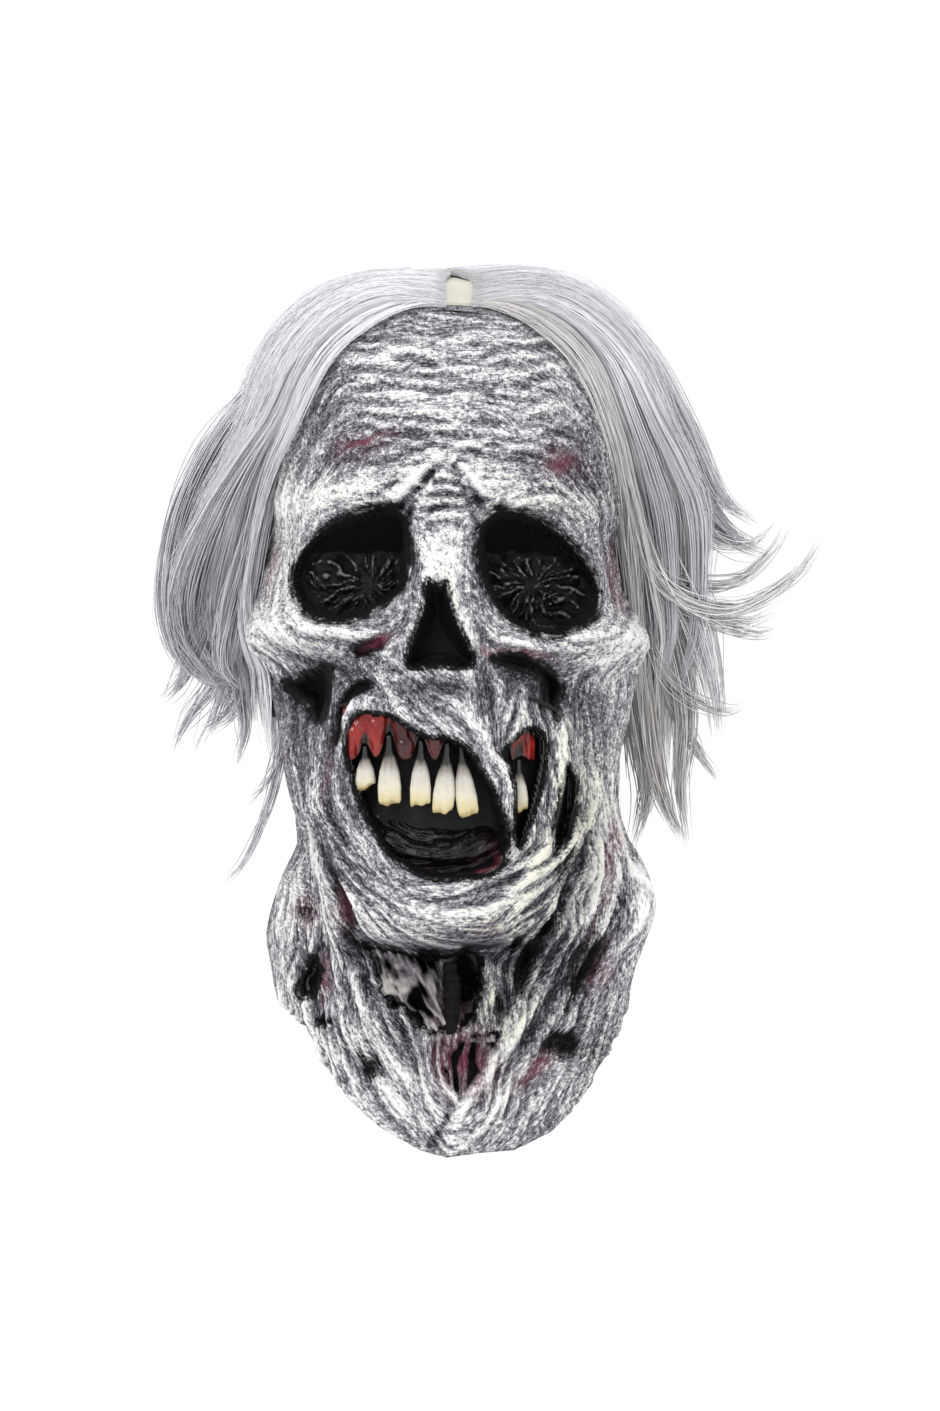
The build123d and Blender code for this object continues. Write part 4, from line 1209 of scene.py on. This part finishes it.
GUIDES_LEFT = [
    [(11.2, 37, 2.2, 4.0), (43, 38, 3, 10), (60, 57, 3, 15), (65, 78, 3, 22), (72, 97, 4, 34), (82, 120, 4,
     30), (86, 140, 5, 24), (88, 160, 5, 18)],
    [(21, 18, 2.2, 4.0), (64, 32, 4, 14), (76, 56, 4, 18), (82, 78, 5, 24), (88, 98, 6, 34), (92, 118, 6, 30),
     (96, 142, 7, 26), (97, 168, 8, 22)],
    [(-110, 4, 2.2, 4.5), (98, 27, 5, 12), (104, 54, 5, 14), (107, 78, 6, 18), (110, 98, 7, 22), (113, 118, 9,
     24), (116, 150, 12, 26), (117, 182, 16, 26)],
    [(186, 15, 2.2, 4.5), (146, 36, 5, 10), (140, 58, 6, 12), (140, 80, 7, 13), (140, 100, 8, 15), (141, 120,
     9, 16), (142, 152, 14, 19), (143, 192, 21, 26)],
    [(184, 32, 2.2, 4.5), (183, 48, 5, 9), (183, 64, 6, 11), (183, 84, 7, 13), (182, 102, 8, 14), (182, 122,
     9, 16), (182, 152, 14, 19), (182, 194, 21, 26)],
]
# Thin veils of hair that lie on the forehead and temples inside the hairline.
VEIL_RIGHT = [
    [(1, 36, 2, 3), (-17, 39, 2, 4), (-35, 54, 2, 4), (-47, 80, 2, 5), (-63, 101, 2, 6), (-72, 118, 2, 6),
     (-77, 136, 2, 6), (-79, 156, 2, 8)],
    [(0.6, 36, 2, 4), (-28, 37, 2, 5), (-45, 52, 2, 6), (-55, 78, 2, 6), (-72, 98, 2, 6), (-80, 118, 2, 5),
     (-83, 136, 2, 6), (-84, 160, 2, 7)],
]
VEIL_LEFT = [
    [(10, 36, 2, 3), (26, 40, 2, 4), (44, 58, 2, 4), (53, 80, 2, 5), (61, 102, 2, 7), (69, 122, 3, 9), (75,
     142, 4, 12), (79, 164, 4, 12)],
    [(11, 36, 2, 4), (42, 38, 2, 5), (59, 57, 2, 6), (64, 78, 2, 8), (71, 98, 2, 12), (81, 120, 3, 12), (85,
     140, 4, 14), (87, 165, 4, 14)],
]
# Short hair in front of the wearer's right ear, over the edge of the cap.
SIDEBURN = [
    [(-66, 80, 1, 4), (-73, 94, 1, 4), (-77, 108, 1, 4), (-77, 122, 1, 4), (-72, 140, 1, 4), (-66, 158, 1, 4),
     (-64, 172, 1, 4)],
    [(-70, 80, 2, 6), (-78, 94, 2, 6), (-83, 108, 2, 7), (-85, 122, 2, 7), (-84, 140, 2, 7), (-82, 158, 2, 7),
     (-81, 174, 2, 8)],
]
# Locks that stand out: points, spread at the root and at the tip, strands, warmth.
LOCKS_RIGHT = [
    ([(-62, -8, -28), (-97, -2, -59), (-122, 0, -103), (-130, 2, -149), (-122, 4, -178), (-104, 2, -188)], 5,
     4, 300, 0.0),
    ([(-80, 6, -48), (-112, 4, -80), (-127, 4, -128), (-124, 6, -168), (-108, 4, -186), (-92, 0, -184)], 5, 4,
     190, 0.0),
    ([(-80, -20, -84), (-92, -18, -120), (-102, -10, -156), (-104, -4, -178), (-94, -4, -190)], 5, 5, 160,
     0.0),
    ([(-92, 4, -100), (-103, 6, -150), (-102, 8, -180), (-108, 6, -200), (-118, 4, -222)], 6, 3, 90, 0.0),
    ([(-90, 4, -110), (-98, 6, -160), (-97, 8, -190), (-95, 6, -208), (-99, 4, -226)], 6, 3, 100, 0.0),
    ([(-90, 8, -140), (-94, 8, -180), (-100, 8, -200), (-116, 4, -212)], 5, 3, 60, 0.0),
    ([(-76, 30, -186), (-77, 20, -216), (-84, 8, -246), (-94, 2, -270), (-105, 0, -282)], 3, 2, 44, 0.0),
    ([(-76, 26, -186), (-78, 16, -214), (-84, 10, -232), (-96, 6, -244)], 3, 1.5, 26, 0.0),
    ([(-100, 2, -120), (-117, 4, -165), (-125, 4, -186), (-134, 2, -198)], 5, 3, 70, 0.0),
    ([(-98, 4, -146), (-108, 6, -184), (-121, 4, -203), (-128, 2, -219)], 5, 3, 60, 0.0),
    ([(-40, -56, -22), (-60, -54, -46), (-74, -46, -76), (-85, -34, -108), (-92, -20, -146), (-100, -6,
     -184)], 4, 6, 200, 0.0),
]
LOCKS_LEFT = [
    ([(60, -8, 0), (92, -8, -32), (112, -10, -68), (127, -10, -98), (147, -8, -113)], 6, 4, 220, 0.1),
    ([(84, -6, -30), (104, -8, -66), (118, -8, -98), (134, -8, -118), (152, -6, -126)], 6, 5, 150, 0.2),
    ([(80, -20, -66), (90, -22, -112), (104, -18, -142), (134, -14, -152), (163, -10, -137), (179, -8, -115)],
     5, 2, 120, 0.4),
    ([(84, -18, -80), (95, -20, -126), (112, -14, -150), (138, -10, -158), (160, -8, -150)], 5, 4, 70, 0.5),
    ([(88, -18, -84), (98, -18, -128), (114, -12, -140), (136, -10, -139), (152, -8, -126), (160, -8, -112)],
     4, 3, 60, 0.3),
    ([(90, -14, -96), (104, -12, -138), (122, -10, -156), (144, -8, -164), (158, -8, -162)], 4, 3, 50, 0.5),
    ([(96, -8, -70), (110, -8, -100), (124, -8, -118), (142, -8, -122), (158, -8, -110)], 4, 3, 50, 0.3),
    ([(88, -10, -130), (98, -8, -172), (112, -6, -192), (130, -4, -200), (140, -2, -196)], 4, 3, 40, 0.6),
    ([(94, -2, -150), (106, 0, -196), (120, 0, -222), (130, 0, -236)], 5, 3, 50, 0.5),
    ([(88, -8, -90), (104, -8, -130), (118, -6, -160), (126, -4, -190), (128, -2, -214)], 8, 6, 170, 0.2),
    ([(90, 0, -110), (104, 0, -160), (112, 0, -200), (110, 0, -235), (114, 0, -265)], 8, 4, 180, 0.5),
    ([(88, -6, -130), (92, -4, -180), (97, 0, -220), (104, 0, -246), (112, 0, -262)], 6, 3, 150, 0.8),
    ([(84, 2, -170), (90, 2, -210), (94, 2, -240), (88, 0, -266)], 6, 3, 130, 0.7),
    ([(70, -44, -45), (79, -38, -80), (84, -32, -112), (88, -26, -150), (92, -20, -196)], 6, 5, 230, 0.6),
    ([(48, -50, -20), (66, -46, -46), (77, -40, -76), (82, -32, -108), (86, -24, -146)], 4, 5, 200, 0.25),
]
# Layers of the combed hair: stand-off from least (0) to most (1), strands, spread of a lock.
LAYERS = [((0.1, 0.5), 1500, 0.02), ((0.35, 0.8), 1500, 0.016), ((0.7, 1.0), 1100, 0.012)]
# Loose hair: how it is combed, its half widths, half depth and tones.
STRAY = (dict(steps=26, clump=3, spread=0.03, length=(0.35, 1.06), stand=(0.6, 1.0), wild=2.6),
         (0.12, 0.22), 0.16, (0.2, 0.9))
VEIL = (dict(steps=30, clump=5, spread=0.05, length=(0.5, 1.0), stand=(0.0, 1.0), wild=1.8),
        (0.12, 0.24), 0.15, (0.4, 1.0))
SHORT = (dict(VEIL[0], clump=14), (0.27, 0.54), 0.15, (0.4, 1.0))
FLYAWAY = (dict(steps=30, clump=1, spread=0.0, length=(0.25, 1.12), stand=(0.9, 1.0), wild=4.2),
           (0.14, 0.26), 0.16, (0.1, 0.7))
# Name, kind, guides, rows of the grid between the guides, strands, seed, warmth.
LOOSE = [
    ("hair_stray_right", STRAY, GUIDES_RIGHT, 60, 340, 5, 0.0),
    ("hair_stray_left", STRAY, GUIDES_LEFT, 60, 340, 6, 0.0),
    ("hair_veil_right", VEIL, VEIL_RIGHT, 20, 90, 8, 0.0),
    ("hair_veil_left", VEIL, VEIL_LEFT, 20, 90, 9, 0.35),
    ("hair_sideburn_right", SHORT, SIDEBURN, 20, 420, 10, 0.0),
    ("hair_flyaway_right", FLYAWAY, GUIDES_RIGHT, 60, 220, 11, 0.0),
    ("hair_flyaway_left", FLYAWAY, GUIDES_LEFT, 60, 220, 12, 0.0),
]


def scalp_point(qx, qy, lift):
    """Point over the scalp from flat coordinates; hair falls straight once it is past the jaw."""
    phi, theta = np.hypot(qx, qy), np.arctan2(qx, -qy)
    dome = DOME_Z + (APEX + lift - DOME_Z) * np.cos(np.radians(np.minimum(phi, 90)))
    z = np.where(phi < 90, dome, DOME_Z - (phi - 90) * HANG)
    r = tube_radius(theta, np.where(phi < 90, z, np.maximum(z, STRAIGHT_Z)), lift)
    return np.stack([r * np.sin(theta), -r * np.cos(theta), z], -1)


def guide_grid(guides, rows, columns=60):
    """Dense grid of (flat x, flat y, least, most) between the guides, rows across and columns along."""
    table = np.array(guides, float)
    theta, phi = np.radians(table[..., 0]), table[..., 1]
    table = np.stack([phi * np.sin(theta), -phi * np.cos(theta), table[..., 2], table[..., 3]], -1)
    along = np.stack([spline_path(g, columns) for g in table])
    return np.stack([spline_path(along[:, c], rows) for c in range(columns)], 1)


def sample(grid, p, t):
    rows, columns = grid.shape[:2]
    r, c = np.clip(p, 0, 1) * (rows - 1.001), np.clip(t, 0, 1) * (columns - 1.001)
    i, j = r.astype(int), c.astype(int)
    u, v = (r - i)[..., None], (c - j)[..., None]
    return ((grid[i, j] * (1 - u) + grid[i + 1, j] * u) * (1 - v)
            + (grid[i, j + 1] * (1 - u) + grid[i + 1, j + 1] * u) * v)


def comb(grid, count, steps, clump, spread, length, stand, seed, wild=1.0):
    """Paths of strands that run in locks: each lock holds together and comes to a point."""
    rng = np.random.default_rng(seed)
    locks = max(count // clump, 1)
    which = np.arange(count) % locks
    p = ((np.arange(locks) + rng.random(locks)) / locks)[which]
    f = rng.uniform(*stand, locks)[which]
    reach = rng.uniform(*length, locks)[which] * rng.uniform(0.88, 1.0, count)
    dp, df = rng.normal(0, spread, count), rng.normal(0, 0.12, count)
    t = np.linspace(0, 1, steps)[None, :] * reach[:, None] + rng.uniform(0, 0.014, count)[:, None]
    gather = 1 - 0.72 * t ** 1.3
    q = sample(grid, p[:, None] + dp[:, None] * gather, t)
    lock, strand = which[:, None] * 3.7, np.arange(count)[:, None]
    wave = noise(t * 3.2 + lock, lock * 1.3, 91 + seed)
    loose = noise(t * 4 + strand * 5.3, strand * 1.7, 92 + seed)
    turn = np.radians(4.0 * wave + 1.8 * loose * wild) * smooth(0.15, 0.8, t)
    qx = q[..., 0] * np.cos(turn) - q[..., 1] * np.sin(turn)
    qy = q[..., 0] * np.sin(turn) + q[..., 1] * np.cos(turn)
    share = np.clip(f[:, None] + df[:, None] * gather, -0.05, 1.08)
    flutter = (0.5 + 2.2 * (wild - 1)) * np.abs(loose) * smooth(5, 40, np.hypot(qx, qy))
    lift = q[..., 2] + (q[..., 3] - q[..., 2]) * share + flutter
    return scalp_point(qx, qy, np.maximum(lift, 1.2)), which


def frames(paths):
    """Sideways and outward directions along each path."""
    tangent = np.gradient(paths, axis=1)
    tangent /= np.maximum(np.linalg.norm(tangent, axis=2, keepdims=True), 1e-6)
    outward = paths - np.array([3.0, 5.0, -110.0])
    outward[..., 2] = np.maximum(outward[..., 2], 0)
    outward -= (outward * tangent).sum(2, keepdims=True) * tangent
    outward /= np.maximum(np.linalg.norm(outward, axis=2, keepdims=True), 1e-6)
    return np.cross(tangent, outward), outward


def strands(name, paths, half_width, half_depth, sides, material, tone, warmth):
    """One closed tapered tube along each path."""
    count, steps = paths.shape[:2]
    across, outward = (direction[:, :, None, :] for direction in frames(paths))
    s = np.linspace(0, 1, steps)
    taper = np.interp(s, [0, 0.08, 0.55, 0.85, 1.0], [0.15, 0.85, 1.0, 0.7, 0.08])[None, :, None, None]
    turn = np.linspace(0, 2 * np.pi, sides, endpoint=False) + np.pi / sides
    c, d = np.cos(turn)[None, None, :, None], np.sin(turn)[None, None, :, None]
    ring = c * across * np.reshape(half_width, (-1, 1, 1, 1)) + d * outward * half_depth
    points = paths[:, :, None, :] + ring * taper
    base = (np.arange(count) * steps * sides)[:, None, None]
    r, k = np.arange(steps - 1)[None, :, None] * sides, np.arange(sides)[None, None, :]
    a, b = base + r + k, base + r + (k + 1) % sides
    halves = ((a, b, b + sides), (a, b + sides, a + sides))
    faces = [np.stack(half, -1).reshape(-1, 3) for half in halves]
    first = base[:, 0, 0]
    last = first + (steps - 1) * sides
    for i in range(1, sides - 1):
        faces.append(np.stack([first, first + i + 1, first + i], 1))
        faces.append(np.stack([last, last + i, last + i + 1], 1))
    shape = (count, steps, sides)
    lane = np.arange(count)[:, None, None] * 1.37 + 0.5 * np.cos(turn)
    attributes = {
        "along": np.broadcast_to(s[None, :, None], shape).ravel(),
        "lane": np.broadcast_to(lane, shape).ravel(),
        "tone": np.repeat(tone, steps * sides), "warmth": np.repeat(warmth, steps * sides),
    }
    piece = new_mesh(name, points.reshape(-1, 3), np.concatenate(faces), [material], None, attributes)
    placed(piece, "hair")
    return piece


def lock_paths(points, root, tip, count, steps, seed):
    """Paths of the strands of one standing lock."""
    rng = np.random.default_rng(seed)
    center = spline_path(points, steps)
    s = np.linspace(0, 1, steps)[None, :]
    u = s * rng.uniform(0.72, 1.0, count)[:, None] * (steps - 1.001)
    i = u.astype(int)
    f = (u - i)[..., None]
    path = center[i] * (1 - f) + center[i + 1] * f
    spot = rng.normal(0, 1, (count, 1, 3)) * np.array([0.75, 0.9, 0.75])
    swell = root + (tip - root) * s + 0.35 * root * np.sin(np.pi * s)
    path = path + spot * (swell * (1 - 0.35 * s ** 3))[..., None] * 0.55
    strand = np.arange(count)[:, None]
    for axis, scale in enumerate((2.2, 2.0, 2.2)):
        sway = noise(s * 2.6 + strand * 3.1, strand * 2.3 + axis * 9, 95 + seed)
        path[..., axis] += scale * smooth(0, 0.6, s) * sway
    return path


def silver_hair(name, low, high):
    m = Nodes(name)
    tone, warmth, along, lane = m.attributes("tone", "warmth", "along", "lane")
    place = m.node("ShaderNodeCombineXYZ", {"X": lane * 9.0, "Y": along * 1.6})
    fibre = m.noise(1.0, 2.0, 0.5, place)
    height = m.node("ShaderNodeSeparateXYZ", {"Vector": m.place}, "Z")
    value = (fibre - 0.5) * 0.6 + tone + (m.noise(20, 2, 0.55) - 0.5) * 0.7
    # painted highlight: the hair is painted paler towards the crown, where the light from above falls
    value = value + m.step(height, -0.10, -0.01) * 0.35     # paler towards the crown
    color = m.ramp(value, [(0.0, low), (0.5, tuple(0.5 * (a + b) for a, b in zip(low, high))), (1.0, high)])
    color = m.mix(warmth * 0.8, color, (0.92, 0.87, 0.7), "MULTIPLY")
    return m.finish(Base_Color=color, Roughness=fibre * 0.2 + 0.3, Specular_IOR_Level=0.4)


def build_hair():
    fine = silver_hair("silver_hair", (0.34, 0.335, 0.375), (0.86, 0.855, 0.89))
    # painted shade: the under layer is a darker copy of the silver hair, as it lies in the shade of the top
    # layers
    under = silver_hair("silver_hair_shaded_under", (0.16, 0.157, 0.18), (0.55, 0.545, 0.59))
    rng = np.random.default_rng(19)
    for side, guides, seed, warmest in (("right", GUIDES_RIGHT, 1, 0.1), ("left", GUIDES_LEFT, 2, 0.5)):
        grid = guide_grid(guides, 60)
        paths, _ = comb(grid, 760, 22, 1, 0.0, (0.78, 0.98), (0.0, 0.10), seed)
        tone = rng.uniform(0.2, 0.8, 760)
        piece = strands(f"hair_under_{side}", paths, 2.6, 0.5, 4, under, tone, np.zeros(760))
        masses = ("crown_hair", "side_hair", "rear_hair", "nape_hair", "puffed_hair")
        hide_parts(*[f"{mass}_{side}" for mass in masses])
        for layer, (stand, count, spread) in enumerate(LAYERS):
            paths, which = comb(grid, count, 22, 26, spread, (0.74, 1.03), stand, seed * 10 + layer)
            tone = np.clip(0.5 + 0.2 * np.sin(which * 2.4) + rng.normal(0, 0.12, count), 0, 1)
            warm = (np.sin(which * 5.1) > 0.55) * warmest
            half_width = rng.uniform(0.25, 0.5, count)
            strands(f"hair_{side}_{layer + 1}", paths, half_width, 0.3, 3, fine, tone, warm)
    for name, (combing, widths, depth, tones), guides, rows, count, seed, warmth in LOOSE:
        paths, _ = comb(guide_grid(guides, rows), count, seed=seed, **combing)
        half_width, tone = rng.uniform(*widths, count), rng.uniform(*tones, count)
        strands(name, paths, half_width, depth, 3, fine, tone, np.full(count, warmth))
    for side, locks, nodes in (
            ("right", LOCKS_RIGHT, ("lock_right_loop", "lock_right_wisp")),
            ("left", LOCKS_LEFT, ("lock_left_upper", "lock_left_flyaway", "lock_left_tail"))):
        paths, tone, warm = [], [], []
        for i, (points, root, tip, count, warmth) in enumerate(locks):
            count //= 2
            paths.append(lock_paths(points, root, tip, count, 26, 40 + i))
            tone.append(np.clip(rng.normal(0.5, 0.22, count), 0, 1))
            warm.append(np.full(count, warmth) * rng.uniform(0.3, 1.0, count))
        paths, tone, warm = (np.concatenate(parts) for parts in (paths, tone, warm))
        half_width = rng.uniform(0.22, 0.45, len(tone))
        piece = strands(f"hair_locks_{side}", paths, half_width, 0.3, 3, fine, tone, warm)
        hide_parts(*nodes)


build_hair()


# ---- floor, light and camera, in metres ---------------------------------------------------
FLOOR_Z = -0.64
CAMERA = (0.0115, -3.0, -0.1975)
FACE_DEPTH = 0.06           # mean distance of the face in front of the origin
VIEW_HEIGHT = 0.64906       # height of the view at the face
SENSOR = 36                 # mm
LAMP_TARGET = (0, 0, -0.19)
# Place, size and power.
LAMPS = {
    "key": ((-0.8, -1.5, 1.3), 0.7, 22),
    "fill": ((1.3, -1.5, 0.1), 1.0, 4),
    "top": ((0.1, 0.3, 1.6), 1.2, 9),
}


def studio():
    m = Nodes("studio_floor")
    color = m.mix(m.noise(3, 2, 0.55), (0.95, 0.95, 0.95), (0.97, 0.97, 0.97))
    pale = m.finish(Base_Color=color, Roughness=0.9)
    turn = np.linspace(0, 2 * np.pi, 64, endpoint=False)
    points = [(9000 * math.cos(a), 9000 * math.sin(a), FLOOR_Z / MM) for a in turn] + [(0, 0, FLOOR_Z / MM)]
    faces = np.stack([np.arange(64), (np.arange(64) + 1) % 64, np.full(64, 64)], 1)
    new_mesh("floor", points, faces, [pale])
    scene = bpy.context.scene
    scene.world = bpy.data.worlds.new("studio")
    scene.world.use_nodes = True
    background = scene.world.node_tree.nodes["Background"].inputs
    background["Color"].default_value = (1, 1, 1, 1)
    background["Strength"].default_value = 1.06
    for name, (place, size, power) in LAMPS.items():
        light = bpy.data.lights.new(name, "AREA")
        light.energy, light.size = power, size
        lamp = bpy.data.objects.new(name, light)
        lamp.location = place
        lamp.rotation_euler = (Vector(LAMP_TARGET) - Vector(place)).to_track_quat("-Z", "Y").to_euler()
        scene.collection.objects.link(lamp)
    scene.view_settings.view_transform = "Standard"
    camera = bpy.data.objects.new("camera", bpy.data.cameras.new("camera"))
    camera.location = CAMERA
    camera.rotation_euler = (math.pi / 2, 0, 0)
    camera.data.sensor_width = SENSOR
    camera.data.lens = SENSOR * (-CAMERA[1] - FACE_DEPTH) / VIEW_HEIGHT
    scene.collection.objects.link(camera)
    scene.camera = camera


studio()
